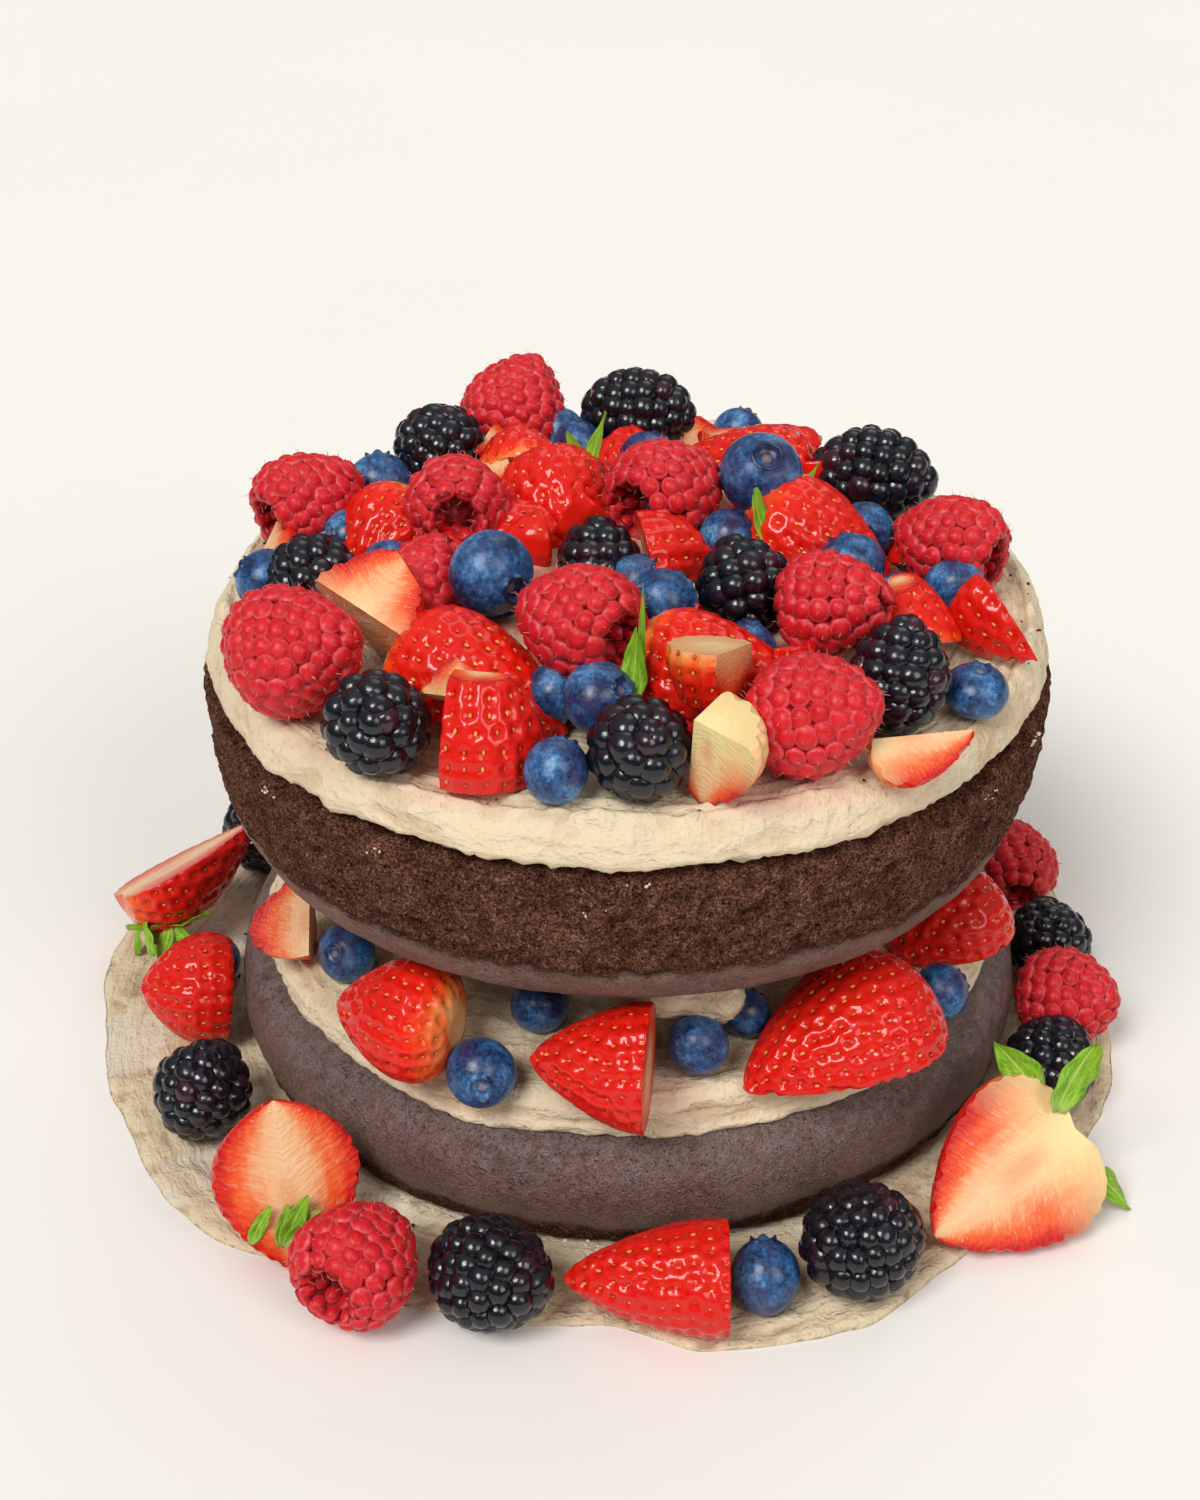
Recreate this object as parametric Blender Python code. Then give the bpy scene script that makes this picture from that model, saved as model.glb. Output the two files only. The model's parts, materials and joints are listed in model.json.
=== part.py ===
"""A naked chocolate layer cake with cream and fresh fruit.

Two round sponges, the upper one set with its domed side down, stand on a thin smear of cream.
Cream and a ring of fruit lie between them, cream and a heap of fruit lie on top, and a ring of
fruit stands round the foot.

The origin is on the cake's axis, on the surface it stands on. +Z is up and -Y is the front.
"""

import math
import random

import bmesh
import bpy
from mathutils import Matrix, Vector
from mathutils.bvhtree import BVHTree

MM = 0.001
GAP = 0.3  # clear space between one piece and the next
SHARP_ANGLE = 45.0  # degrees from which an edge is shaded sharp

# The cake, in mm
TIN_RADIUS = 76.0
SEGMENTS = 40
FOOT_CREAM_TOP = 2.0
LOWER_SHOULDER = 23.6  # height where the side of the lower sponge turns into its dome
LOWER_DOME_TOP = 30.0
FILLING_RADIUS = 68.0
FILLING_TOP = 32.4
FILLING_CORE_RADIUS = 41.0  # thicker cream in the middle, which carries the upper sponge
UPPER_DOME_LOW = 50.0
UPPER_RIM = 84.5
TOP_CREAM_RADIUS = 73.0
TOP_CREAM_TOP = 93.0
HEAP_CORE_HEIGHT = 10.5

# Fruit, as shares of its own size
BEAD_STEP = 0.045  # how far the beads of a raspberry or bramble stand in or out
LEAF_THICK = 0.7  # mm
LEAF_DEPTH = 2.4  # mm from a strawberry's stem end to where its leaves start
LEAF_INSET = 2.5  # mm that the leaves sit behind the cut face
SINK = 1.5  # mm below its level from which a piece is raised until it is clear
RISE_MOST = 40.0
RISE_STEP = 0.5
SLIDE_STEP = 0.9
SLIDE_RINGS = 4
SLIDE_WAYS = 8
SLIDE_COST = 1.2  # mm of height that a mm of sideways shift has to save

# The smear of cream that the cake stands on: angle in degrees, and reach from the axis in mm
SMEAR_REACH = (
    (-170, 104), (-150, 103), (-138, 102), (-128, 97), (-110, 93), (-93, 91), (-80, 97), (-66, 99),
    (-54, 95), (-40, 96), (-20, 97), (0, 96), (25, 98), (60, 98), (95, 99), (130, 101), (155, 106),
    (172, 108),
)

# What is cut away from a fruit: planes as (x, y, z, reach) in the fruit's own axes and in radii.
# Its own z runs from stem to tip.
WHOLE = ()
HALF = ((1, 0, 0, 0.0),)
QUARTER = ((1, 0, 0, 0.0), (0, 1, 0, 0.0))
STEM_OFF = ((0, 0, -1, 0.45),)
BLOCK = ((1, 0, 0, 0.0), (0, 1, 0, 0.4), (0, 0, -1, 0.85), (0, 0, 1, 0.75))
WEDGE = ((1, 0, 0, 0.05), (0, 1, 0, 0.3), (0, 0, -1, 0.8))
CHUNK = ((1, 0, 0, 0.2), (0, 0, -1, 0.35), (0, 0.4, 0.9, 0.75))
SLAB = ((0, 0, -1, 0.6), (0, 0, 1, 0.7), (0, 1, 0, 0.5))
TAIL = ((0, 0, -1, 1.0),)

# Each fruit: name, kind, x, y, radius, length, turn and lift of its tip, spin about its own axis, cuts.
# A blueberry's tip is the end with the crown.
TOP_FRUIT = (
    ("top_raspberry_left", "raspberry", -53, -41, 11.4, 24, -20, 25, 0, WHOLE),
    ("top_bramble_left", "bramble", -39, -58, 9.0, 18.5, -80, 40, 0, WHOLE),
    ("top_strawberry_block", "strawberry", -21, -62.5, 10.5, 26, 80, 78, 0, BLOCK),
    ("top_blueberry_front", "blueberry", -11, -67, 5.2, 10.6, 60, 50, 0, WHOLE),
    ("top_bramble_front", "bramble", 2, -65.5, 8.8, 18.5, -70, 45, 0, WHOLE),
    ("top_strawberry_wedge", "strawberry", 16.5, -68, 8.8, 19, 100, -78, 46, WEDGE),
    ("top_raspberry_front", "raspberry", 30, -59.5, 10.4, 23, -25, 25, 0, WHOLE),
    ("top_bramble_right", "bramble", 44, -44.5, 8.4, 20, 70, 60, 0, WHOLE),
    ("top_blueberry_right", "blueberry", 57, -41, 5.6, 8.8, 0, 85, 0, WHOLE),
    ("top_strawberry_chip", "strawberry", 45.5, -60, 8.0, 17, 10, 0, 130, QUARTER),
)

FILLING_FRUIT = (
    ("filling_strawberry_left", "strawberry", -63.5, -25, 10.5, 16, 90, 50, 180, QUARTER),
    ("filling_blueberry_left", "blueberry", -51, -34, 5.4, 9.6, -120, 30, 0, WHOLE),
    ("filling_strawberry_front_left", "strawberry", -40, -57.5, 10.6, 22, 162, 0, 0, WHOLE),
    ("filling_blueberry_front", "blueberry", -25, -66, 6.1, 11.4, -85, 10, 0, WHOLE),
    ("filling_blueberry_back", "blueberry", -15.5, -50, 5.2, 9.4, 90, 40, 0, WHOLE),
    ("filling_strawberry_front", "strawberry", -6.5, -69.5, 10.8, 30, 173, 0, 0, STEM_OFF),
    ("filling_blueberry_middle", "blueberry", 12, -60, 5.5, 10.4, 60, 30, 0, WHOLE),
    ("filling_blueberry_inner", "blueberry", 20.5, -51, 4.6, 8.4, 60, 30, 0, WHOLE),
    ("filling_strawberry_front_right", "strawberry", 33, -56, 14.6, 37, -152, -6, 10, HALF),
    ("filling_blueberry_right", "blueberry", 56, -43, 5.2, 9.6, 20, 20, 0, WHOLE),
    ("filling_strawberry_right", "strawberry", 57, -24.5, 11.4, 24, -145, -10, 0, HALF),
)

FOOT_FRUIT = (
    ("foot_strawberry_far_left", "strawberry", -88, 19, 12.0, 31, 35, 12, 150, HALF),
    ("foot_blueberry_left", "blueberry", -83, 3, 4.9, 8.8, 180, 40, 0, WHOLE),
    ("foot_strawberry_left", "strawberry", -86, -14, 10.6, 24, 190, 10, -60, STEM_OFF),
    ("foot_bramble_left", "bramble", -78, -41, 9.8, 20.5, 60, 30, 0, WHOLE),
    ("foot_strawberry_front_left", "strawberry", -61, -65.5, 12.8, 31, 110, 60, 180, HALF),
    ("foot_raspberry_front", "raspberry", -45, -86, 11.0, 23.5, 62, 0, 0, WHOLE),
    ("foot_bramble_front", "bramble", -22.5, -88.5, 10.4, 23, -25, 5, 0, WHOLE),
    ("foot_strawberry_front", "strawberry", 3, -88.5, 9.4, 36, 180, 0, 0, TAIL),
    ("foot_blueberry_front", "blueberry", 23.5, -85, 6.0, 13, 95, 55, 0, WHOLE),
    ("foot_bramble_front_right", "bramble", 40.5, -80.5, 10.2, 23, 20, 8, 0, WHOLE),
    ("foot_strawberry_right", "strawberry", 65, -62, 15.0, 33, -150, -22, 130, HALF),
    ("foot_bramble_right", "bramble", 80, -33, 9.0, 20, 60, 20, 0, WHOLE),
    ("foot_raspberry_right", "raspberry", 85.5, -16, 9.8, 20.5, -30, 20, 0, WHOLE),
    ("foot_bramble_far_right", "bramble", 84.8, 5, 8.8, 19, 90, 30, 0, WHOLE),
    ("foot_raspberry_far_right", "raspberry", 81, 30.5, 9.4, 20, 90, 25, 0, WHOLE),
    ("foot_blueberry_far_right", "blueberry", 76, 45, 5.6, 10, 30, 30, 0, WHOLE),
)

# The far side of the two rings: name, kind, place round the ring in degrees, distance from the axis,
# then radius, length, turn and lift of the tip, spin and cuts as above.
FILLING_BACK = (
    ("filling_strawberry_far_right", "strawberry", 8, 60, 11.6, 27, 70, 0, 0, HALF),
    ("filling_blueberry_far_right", "blueberry", 29, 61, 5.6, 10.4, 80, 20, 0, WHOLE),
    ("filling_raspberry_back_right", "raspberry", 50, 60, 8.6, 19, 150, 5, 0, WHOLE),
    ("filling_strawberry_back", "strawberry", 77, 60, 12.6, 30, -15, 0, 0, HALF),
    ("filling_blueberry_back_left", "blueberry", 101, 61, 5.8, 10.6, 120, 20, 0, WHOLE),
    ("filling_strawberry_back_left", "strawberry", 125, 60, 12.0, 28, 40, 0, 0, HALF),
    ("filling_raspberry_far_left", "raspberry", 153, 60, 8.6, 19, 240, 5, 0, WHOLE),
    ("filling_strawberry_far_left", "strawberry", 170, 61, 9.6, 20, 85, 0, 0, HALF),
)
FOOT_BACK = (
    ("foot_strawberry_back_right", "strawberry", 42, 92, 12.2, 29, 130, 0, 0, HALF),
    ("foot_bramble_back_right", "bramble", 57, 90, 9.6, 21, 160, 10, 0, WHOLE),
    ("foot_raspberry_back_right", "raspberry", 72, 91, 10.2, 21, 30, 15, 0, WHOLE),
    ("foot_blueberry_back", "blueberry", 83, 86, 6.0, 11, 90, 40, 0, WHOLE),
    ("foot_strawberry_back", "strawberry", 98, 92, 13.0, 31, -5, 0, 0, HALF),
    ("foot_bramble_back", "bramble", 115, 90, 10.0, 22, 200, 8, 0, WHOLE),
    ("foot_raspberry_back_left", "raspberry", 130, 91, 10.4, 21.5, 60, 20, 0, WHOLE),
    ("foot_blueberry_back_left", "blueberry", 141, 86, 6.2, 11.4, 150, 50, 0, WHOLE),
    ("foot_bramble_far_left", "bramble", 151, 89, 9.4, 20, 70, 15, 0, WHOLE),
)

# The heap on top: kind, x, y, z, then radius, length, turn, lift, spin and cuts as above.
HEAP_FRUIT = (
    ("raspberry", -22, 57, 103.5, 10.6, 22, 60, 45, 0, WHOLE),
    ("bramble", 2, 54, 103, 9.4, 24, -10, 0, 0, WHOLE),
    ("strawberry", -19.5, 32, 107, 8.6, 18, 100, 35, 20, CHUNK),
    ("bramble", -36, 37, 103.5, 8.8, 19, 150, 15, 0, WHOLE),
    ("blueberry", -47, 31, 99, 6.4, 11.6, 100, 50, 0, WHOLE),
    ("raspberry", -58, 17, 102.5, 9.8, 23, 40, 8, 0, WHOLE),
    ("strawberry", -45, 5, 103, 9.6, 22, -120, -20, 0, HALF),
    ("raspberry", -30.5, 7, 107, 9.6, 20, 92, -4, 0, WHOLE),
    ("strawberry", -12, 15, 104.5, 11.4, 26, -75, -15, 0, HALF),
    ("strawberry", -17, 4, 104, 8.0, 18, 0, 20, 30, CHUNK),
    ("strawberry", 0, 42, 102, 8.0, 18, 100, 40, 0, CHUNK),
    ("raspberry", 7.5, 10, 108, 10.2, 24, 48, 0, 0, WHOLE),
    ("strawberry", 21, 36, 103, 11.0, 30, 170, 0, 0, HALF),
    ("blueberry", 24, 10.5, 111, 7.6, 13.6, -80, 55, 0, WHOLE),
    ("bramble", 46, 27, 102.5, 9.4, 25, -15, 0, 0, WHOLE),
    ("strawberry", 35.5, 2, 105, 11.8, 29, -28, -12, 0, HALF),
    ("raspberry", 57, 0, 102.5, 9.6, 22, 145, 5, 0, WHOLE),
    ("blueberry", -64, -6, 98.5, 5.6, 10.4, 180, 30, 0, WHOLE),
    ("bramble", -55, -8, 100.5, 7.6, 18, 5, 10, 0, WHOLE),
    ("strawberry", -40, -29, 107.5, 9.6, 22, 50, 25, 200, CHUNK),
    ("raspberry", -35, -18, 104, 8.6, 19, 60, 50, 0, WHOLE),
    ("blueberry", -23, -23, 109, 7.4, 13.4, -50, -5, 0, WHOLE),
    ("bramble", -5, -10, 104, 8.0, 17, 90, 60, 0, WHOLE),
    ("strawberry", 9, -9, 106.5, 9.0, 20, 10, 10, 40, CHUNK),
    ("blueberry", 18, 1, 103, 5.6, 10.4, 45, 40, 0, WHOLE),
    ("raspberry", -8.5, -39, 110.5, 9.8, 22, 142, 4, 0, WHOLE),
    ("blueberry", 6, -27.5, 106, 6.0, 11, 40, 40, 0, WHOLE),
    ("bramble", 19.5, -22, 106, 8.8, 18.5, 110, 45, 0, WHOLE),
    ("raspberry", 34.5, -30, 107, 9.2, 20, -20, 15, 0, WHOLE),
    ("blueberry", 38.5, -11, 104, 6.2, 11, 120, 50, 0, WHOLE),
    ("strawberry", 50, -24, 103, 9.6, 20, 100, 60, 60, CHUNK),
    ("blueberry", 57, -10, 99.5, 5.4, 9.6, 100, 50, 0, WHOLE),
    ("strawberry", 60, -25, 100, 8.6, 18, -60, -20, 30, QUARTER),
    ("strawberry", -23, -43, 103, 12.0, 32, -28, -10, 0, HALF),
    ("strawberry", -27.5, -51, 105, 5.0, 10, 80, 50, 200, CHUNK),
    ("blueberry", -4.5, -51, 101.5, 6.2, 11.4, -30, 35, 0, WHOLE),
    ("strawberry", 16, -41, 103.5, 11.6, 31, -12, -6, 0, HALF),
    ("strawberry", 11.5, -53, 107.5, 7.2, 18, -100, -72, 20, SLAB),
)

# Fruit of the heap that only shows from behind and between the others
HEAP_BACK = (
    ("blueberry", 22, 55, 98.5, 5.2, 9.4, 60, 40, 0, WHOLE),
    ("blueberry", -38, 50, 98.8, 5.6, 10, 120, 30, 0, WHOLE),
    ("blueberry", 58, 14, 98.4, 5.0, 9, 10, 40, 0, WHOLE),
    ("strawberry", -60, 2, 98.0, 8.0, 18, 80, 10, 60, QUARTER),
)

# Strawberries that are widest towards the tip, and how far their belly is moved
BELLY_AT_TIP = {"foot_strawberry_front_left": 1.25, "foot_strawberry_left": 0.95}

# Leaves left on the heap and on three strawberries at the foot:
# x, y, z, length, width, turn, lift and roll of the leaf, from its own base. On a strawberry: how far
# from its axis the leaf starts, its length, turn round the stem, fold back from it, width and roll.
HEAP_LEAVES = (
    (-10.5, 21, 100.5, 17, 5.0, 47, 44, 0),
    (-7.5, 32, 100.5, 9, 3.0, 142, 49, -30),
    (26, -4.5, 100.5, 14, 4.4, 138, 55, 0),
    (28.5, 11.5, 104, 10, 3.0, 41, 22, 0),
    (0.5, -51, 100.5, 19.5, 4.4, 73, 64, 0),
)
STRAWBERRY_LEAVES = {
    "foot_strawberry_far_left": ((5, 9, 180, 15, 5.0, 20), (4, 9, 140, 35, 4.6, -20), (4, 9, -150, 40, 4.4, 10)),
    "foot_strawberry_front_left": ((2, 8, 15, -45, 3.6, 30), (6, 9, 60, -25, 4.5, 20)),
    "foot_strawberry_right": ((8, 13, 90, -5, 7.0, 70), (5, 15, 60, 48, 8.0, 80), (8, 13, -95, 15, 5.0, 80)),
}


def metres(*values):
    """The values, from millimetres."""
    return [value * MM for value in values]


def clear_scene():
    for item in list(bpy.data.objects):
        bpy.data.objects.remove(item, do_unlink=True)


def make_material(name, colour, roughness):
    material = bpy.data.materials.new(name)
    material.use_nodes = True
    shader = material.node_tree.nodes["Principled BSDF"]
    shader.inputs["Base Color"].default_value = (*colour, 1.0)
    shader.inputs["Roughness"].default_value = roughness
    shader.inputs["Metallic"].default_value = 0.0
    return material


def make_materials():
    """Linear colours of the sponge, the cream and the fruit."""
    return {
        "sponge": make_material("sponge", (0.055, 0.030, 0.022), 0.75),
        "cream": make_material("cream", (0.72, 0.60, 0.44), 0.60),
        "raspberry": make_material("raspberry", (0.55, 0.025, 0.045), 0.45),
        "bramble": make_material("bramble", (0.012, 0.013, 0.022), 0.28),
        "blueberry": make_material("blueberry", (0.035, 0.065, 0.16), 0.45),
        "strawberry": make_material("strawberry", (0.70, 0.035, 0.012), 0.30),
    }


def add_object(name, mesh, material):
    item = bpy.data.objects.new(name, mesh)
    mesh.materials.clear()
    mesh.materials.append(material)
    bpy.context.scene.collection.objects.link(item)
    return item


def shade(mesh):
    """Shades a mesh smooth, with its sharp edges kept sharp."""
    mesh.shade_smooth()
    mesh.set_sharp_from_angle(angle=math.radians(SHARP_ANGLE))


def mesh_from(name, body):
    """A mesh from a bmesh given in millimetres, with its faces pointing out."""
    bmesh.ops.recalc_face_normals(body, faces=body.faces)
    bmesh.ops.scale(body, vec=(MM, MM, MM), verts=body.verts)
    mesh = bpy.data.meshes.new(name)
    body.to_mesh(mesh)
    body.free()
    shade(mesh)
    return mesh


def ripple(seed, waves):
    """A smooth, repeatable wave round the circle, between about -1 and 1."""
    chance = random.Random(seed)
    parts = [(wave, chance.uniform(0.4, 1.0), chance.uniform(0.0, math.tau)) for wave in waves]
    total = sum(size for _, size, _ in parts)

    def height(angle):
        return sum(size * math.sin(wave * angle + start) for wave, size, start in parts) / total

    return height


def turned_body(profile_at, segments):
    """A closed body round the Z axis.

    profile_at(angle) gives its outline as (radius, height) from the bottom to the top, with the
    first and the last point on the axis.
    """
    body = bmesh.new()
    angles = [math.tau * step / segments for step in range(segments)]
    outlines = [profile_at(angle) for angle in angles]
    bottom = body.verts.new((0, 0, outlines[0][0][1]))
    top = body.verts.new((0, 0, outlines[0][-1][1]))
    rows = []
    for level in range(1, len(outlines[0]) - 1):
        row = []
        for angle, outline in zip(angles, outlines):
            radius, height = outline[level]
            row.append(body.verts.new((radius * math.cos(angle), radius * math.sin(angle), height)))
        rows.append(row)
    for step in range(segments):
        after = (step + 1) % segments
        body.faces.new((bottom, rows[0][after], rows[0][step]))
        body.faces.new((rows[-1][step], rows[-1][after], top))
        for low, high in zip(rows, rows[1:]):
            body.faces.new((low[step], low[after], high[after], high[step]))
    return body


def smear_reach(angle):
    """Reach of the foot cream at an angle, eased between the measured places."""
    degrees = math.degrees(angle)
    first = SMEAR_REACH[0][0]
    degrees = (degrees - first) % 360 + first
    places = SMEAR_REACH + ((first + 360, SMEAR_REACH[0][1]),)
    for (start, near), (end, far) in zip(places, places[1:]):
        if start <= degrees <= end:
            share = (degrees - start) / (end - start)
            eased = share * share * (3 - 2 * share)
            return near + (far - near) * eased
    return near


def make_foot_cream(material):
    edge = ripple(3, (7, 11, 17))
    rise = ripple(4, (5, 9, 13))

    def outline(angle):
        reach = smear_reach(angle) + 0.8 * edge(angle)
        middle = 0.5 * (TIN_RADIUS + reach)
        return (
            (0, 0),
            (reach - 0.6, 0),
            (reach, 0.5),
            (reach - 1.5, 1.3 + 0.3 * rise(angle)),
            (middle, 1.6 + 0.35 * rise(angle + 1)),
            (TIN_RADIUS, FOOT_CREAM_TOP),
            (0, FOOT_CREAM_TOP),
        )

    return add_object("cream_foot", mesh_from("cream_foot", turned_body(outline, 48)), material)


def lower_dome(radius):
    """Height of the lower sponge's domed top at a distance from the axis."""
    share = min(radius / 70.0, 1.0)
    return LOWER_DOME_TOP - (LOWER_DOME_TOP - LOWER_SHOULDER) * share**2.4


def upper_dome(radius):
    """Height of the upper sponge's domed underside at a distance from the axis."""
    share = min(radius / 68.0, 1.0)
    return UPPER_DOME_LOW + 4.0 * share**2.6


def make_lower_sponge(material):
    side = ripple(11, (2, 3, 5))
    foot = FOOT_CREAM_TOP + GAP

    def outline(angle):
        shift = 0.5 * side(angle)
        return (
            (0, foot),
            (72.0, foot),
            (74.4 + shift, foot + 3),
            (TIN_RADIUS + shift, 13),
            (TIN_RADIUS - 0.9 + shift, 18.6),
            (73.4 + shift, 21.8),
            (70.0, lower_dome(70.0)),
            (55.0, lower_dome(55.0)),
            (30.0, lower_dome(30.0)),
            (0, LOWER_DOME_TOP),
        )

    return add_object("sponge_lower", mesh_from("sponge_lower", turned_body(outline, SEGMENTS)), material)


def make_filling_cream(material):
    edge = ripple(21, (4, 7, 11))
    rise = ripple(22, (3, 5, 8))

    def outline(angle):
        reach = FILLING_RADIUS + 1.1 * edge(angle)
        top = FILLING_TOP + 0.5 * rise(angle)
        core = FILLING_CORE_RADIUS + 1.5 * edge(angle + 2)
        return (
            (0, LOWER_DOME_TOP + GAP),
            (30.0, lower_dome(30.0) + GAP),
            (55.0, lower_dome(55.0) + GAP),
            (reach + 1.2, lower_dome(reach + 1.2) + 2 * GAP),
            (reach + 1.0, top - 3.5),
            (reach - 1.2, top - 0.6),
            (reach - 6, top),
            (core + 4, top + 1.0),
            (core, UPPER_DOME_LOW - 3),
            (core - 3, upper_dome(core - 3) - 2 * GAP),
            (0, UPPER_DOME_LOW - 2 * GAP),
        )

    return add_object("cream_filling", mesh_from("cream_filling", turned_body(outline, SEGMENTS)), material)


def make_upper_sponge(material):
    side = ripple(31, (2, 3, 5))

    def outline(angle):
        shift = 0.5 * side(angle)
        return (
            (0, UPPER_DOME_LOW),
            (34.0, upper_dome(34.0)),
            (56.0, upper_dome(56.0)),
            (68.0, upper_dome(68.0)),
            (72.2 + shift, 57.6),
            (74.6 + shift, 63),
            (TIN_RADIUS + shift, 71),
            (TIN_RADIUS + 0.5 + shift, 79),
            (TIN_RADIUS + shift, UPPER_RIM),
            (0, UPPER_RIM),
        )

    return add_object("sponge_upper", mesh_from("sponge_upper", turned_body(outline, SEGMENTS)), material)


def make_top_cream(material):
    edge = ripple(41, (5, 9, 14))
    lip = ripple(42, (4, 7, 12))

    def outline(angle):
        reach = TIN_RADIUS - 0.6 + 0.7 * edge(angle)
        plateau = TOP_CREAM_RADIUS - 1.0 + 0.8 * edge(angle + 1)
        return (
            (0, UPPER_RIM + GAP),
            (reach - 0.4, UPPER_RIM + GAP),
            (reach + 0.2, UPPER_RIM + 2.2),
            (0.5 * (reach + plateau) + 0.8, TOP_CREAM_TOP - 3),
            (plateau, TOP_CREAM_TOP + 0.4 * lip(angle)),
            (plateau - 3.5, TOP_CREAM_TOP - 0.2),
            (0, TOP_CREAM_TOP - 0.4),
        )

    return add_object("cream_top", mesh_from("cream_top", turned_body(outline, SEGMENTS)), material)


def beaded_body(radius, length, columns, rows, fullness, hollow):
    """A raspberry or a bramble: a blunt cone of beads, with the stem end down."""
    outline = []
    if hollow:
        outline.append((0, -0.12 * length))
        outline.append((0.34 * radius, -0.5 * length + 0.12 * radius))
    else:
        outline.append((0, -0.46 * length))
    for row in range(rows):
        share = 0.07 + 0.85 * row / (rows - 1)
        reach = radius * math.sin(math.pi * share**fullness) ** 0.55
        outline.append((reach, length * (share - 0.5)))
    outline.append((0, 0.5 * length))

    def outline_at(angle):
        column = round(angle * columns / math.tau)
        points = []
        for level, (reach, height) in enumerate(outline):
            swell = 1 + BEAD_STEP * (1 if (level + column) % 2 else -1)
            points.append((reach * swell, height))
        return points

    return turned_body(outline_at, columns)


def raspberry_body(radius, length):
    return beaded_body(radius, length, 10, 5, 0.72, hollow=True)


def bramble_body(radius, length):
    return beaded_body(radius, length, 10, 5, 0.95, hollow=False)


def blueberry_body(radius, length):
    """A blueberry, slightly flattened, with its crown's dent at the tip."""
    rows = 4
    outline = [(0, -0.5 * length)]
    for row in range(rows):
        turn = math.pi * (0.17 + 0.62 * row / (rows - 1))
        outline.append((radius * math.sin(turn), -0.5 * length * math.cos(turn)))
    outline.append((0.34 * radius, 0.5 * length))
    outline.append((0, 0.36 * length))
    return turned_body(lambda angle: outline, 9)


def strawberry_body(radius, length, fullness=0.6):
    """A whole strawberry, from the sunk stem end to the blunt tip. More fullness moves its belly up."""
    rows = 6
    outline = [(0, -0.44 * length)]
    for row in range(rows):
        share = 0.05 + 0.89 * row / (rows - 1)
        reach = radius * math.sin(math.pi * share**fullness) ** 0.7
        outline.append((reach, length * (share - 0.5)))
    outline.append((0, 0.5 * length))
    return turned_body(lambda angle: outline, 12)


FRUIT_BODIES = {
    "raspberry": raspberry_body,
    "bramble": bramble_body,
    "blueberry": blueberry_body,
    "strawberry": strawberry_body,
}


def cut_away(body, planes, radius):
    """Cuts a body by planes, and closes each cut with a flat face."""
    for x, y, z, reach in planes:
        normal = Vector((x, y, z)).normalized()
        everything = body.verts[:] + body.edges[:] + body.faces[:]
        cut = bmesh.ops.bisect_plane(
            body, geom=everything, dist=1e-6, plane_co=normal * reach * radius, plane_no=normal,
            clear_outer=True,
        )
        edges = [part for part in cut["geom_cut"] if isinstance(part, bmesh.types.BMEdge)]
        bmesh.ops.edgeloop_fill(body, edges=edges)


def centre_on_box(body):
    """Moves a body so that the middle of its box is at its origin."""
    corners = [vert.co for vert in body.verts]
    low = Vector([min(corner[axis] for corner in corners) for axis in range(3)])
    high = Vector([max(corner[axis] for corner in corners) for axis in range(3)])
    bmesh.ops.translate(body, vec=-(low + high) / 2, verts=body.verts)


def fruit_turn(turn, lift, spin):
    """Turns the fruit's own +Z to the direction of its tip, after a spin about itself."""
    aim = Matrix.Rotation(math.radians(turn), 4, "Z")
    tilt = Matrix.Rotation(math.radians(90 - lift), 4, "Y")
    return aim @ tilt @ Matrix.Rotation(math.radians(spin), 4, "Z")


def make_fruit(name, kind, place, radius, length, turn, lift, spin, cuts, materials):
    if name in BELLY_AT_TIP:
        body = strawberry_body(radius, length, BELLY_AT_TIP[name])
    else:
        body = FRUIT_BODIES[kind](radius, length)
    cut_away(body, cuts, radius)
    centre_on_box(body)
    fruit = add_object(name, mesh_from(name, body), materials[kind])
    fruit.matrix_world = Matrix.Translation(metres(*place)) @ fruit_turn(turn, lift, spin)
    return fruit


def leaf_body(length, width):
    """A thin pointed leaf from its base at the origin along +X, curling up at its end."""
    body = bmesh.new()
    stations = (0.0, 0.3, 0.65, 1.0)
    widths = (0.35, 1.0, 0.75, 0.12)
    sheets = []
    for side in (0.5, -0.5):
        sheet = []
        for share, wide in zip(stations, widths):
            lift = 0.22 * length * share**2
            for across in (-1, 0, 1):
                wave = 0.12 * width * math.sin(6 * share) * across + 0.14 * width * abs(across)
                place = (length * share, 0.5 * width * wide * across, lift + wave + side * LEAF_THICK)
                sheet.append(body.verts.new(place))
        sheets.append(sheet)
    upper, lower = sheets
    last = len(stations) - 1
    for row in range(last):
        for column in range(2):
            one, two = row * 3 + column, row * 3 + column + 1
            three, four = one + 3, two + 3
            for sheet in sheets:
                body.faces.new((sheet[one], sheet[two], sheet[four]))
                body.faces.new((sheet[one], sheet[four], sheet[three]))
    rim = [0, 3, 6, 9, 10, 11, 8, 5, 2, 1]
    for start, end in zip(rim, rim[1:] + rim[:1]):
        body.faces.new((upper[start], upper[end], lower[end], lower[start]))
    return body


def join_on(base, extras):
    """Fuses extras onto base with one union, and keeps the largest closed body."""
    group = bpy.data.collections.new(base.name + "_extras")
    bpy.context.scene.collection.children.link(group)
    for extra in extras:
        bpy.context.scene.collection.objects.unlink(extra)
        group.objects.link(extra)
    union = base.modifiers.new("fuse", "BOOLEAN")
    union.operation = "UNION"
    union.operand_type = "COLLECTION"
    union.collection = group
    union.solver = "EXACT"
    bpy.context.view_layer.update()
    fused = bpy.data.meshes.new_from_object(base.evaluated_get(bpy.context.evaluated_depsgraph_get()))
    base.modifiers.remove(union)
    base.data = fused
    for extra in extras:
        bpy.data.objects.remove(extra, do_unlink=True)
    bpy.data.collections.remove(group)
    keep_main_body(base)
    only = base.data.materials[0]
    base.data.materials.clear()
    base.data.materials.append(only)


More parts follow.
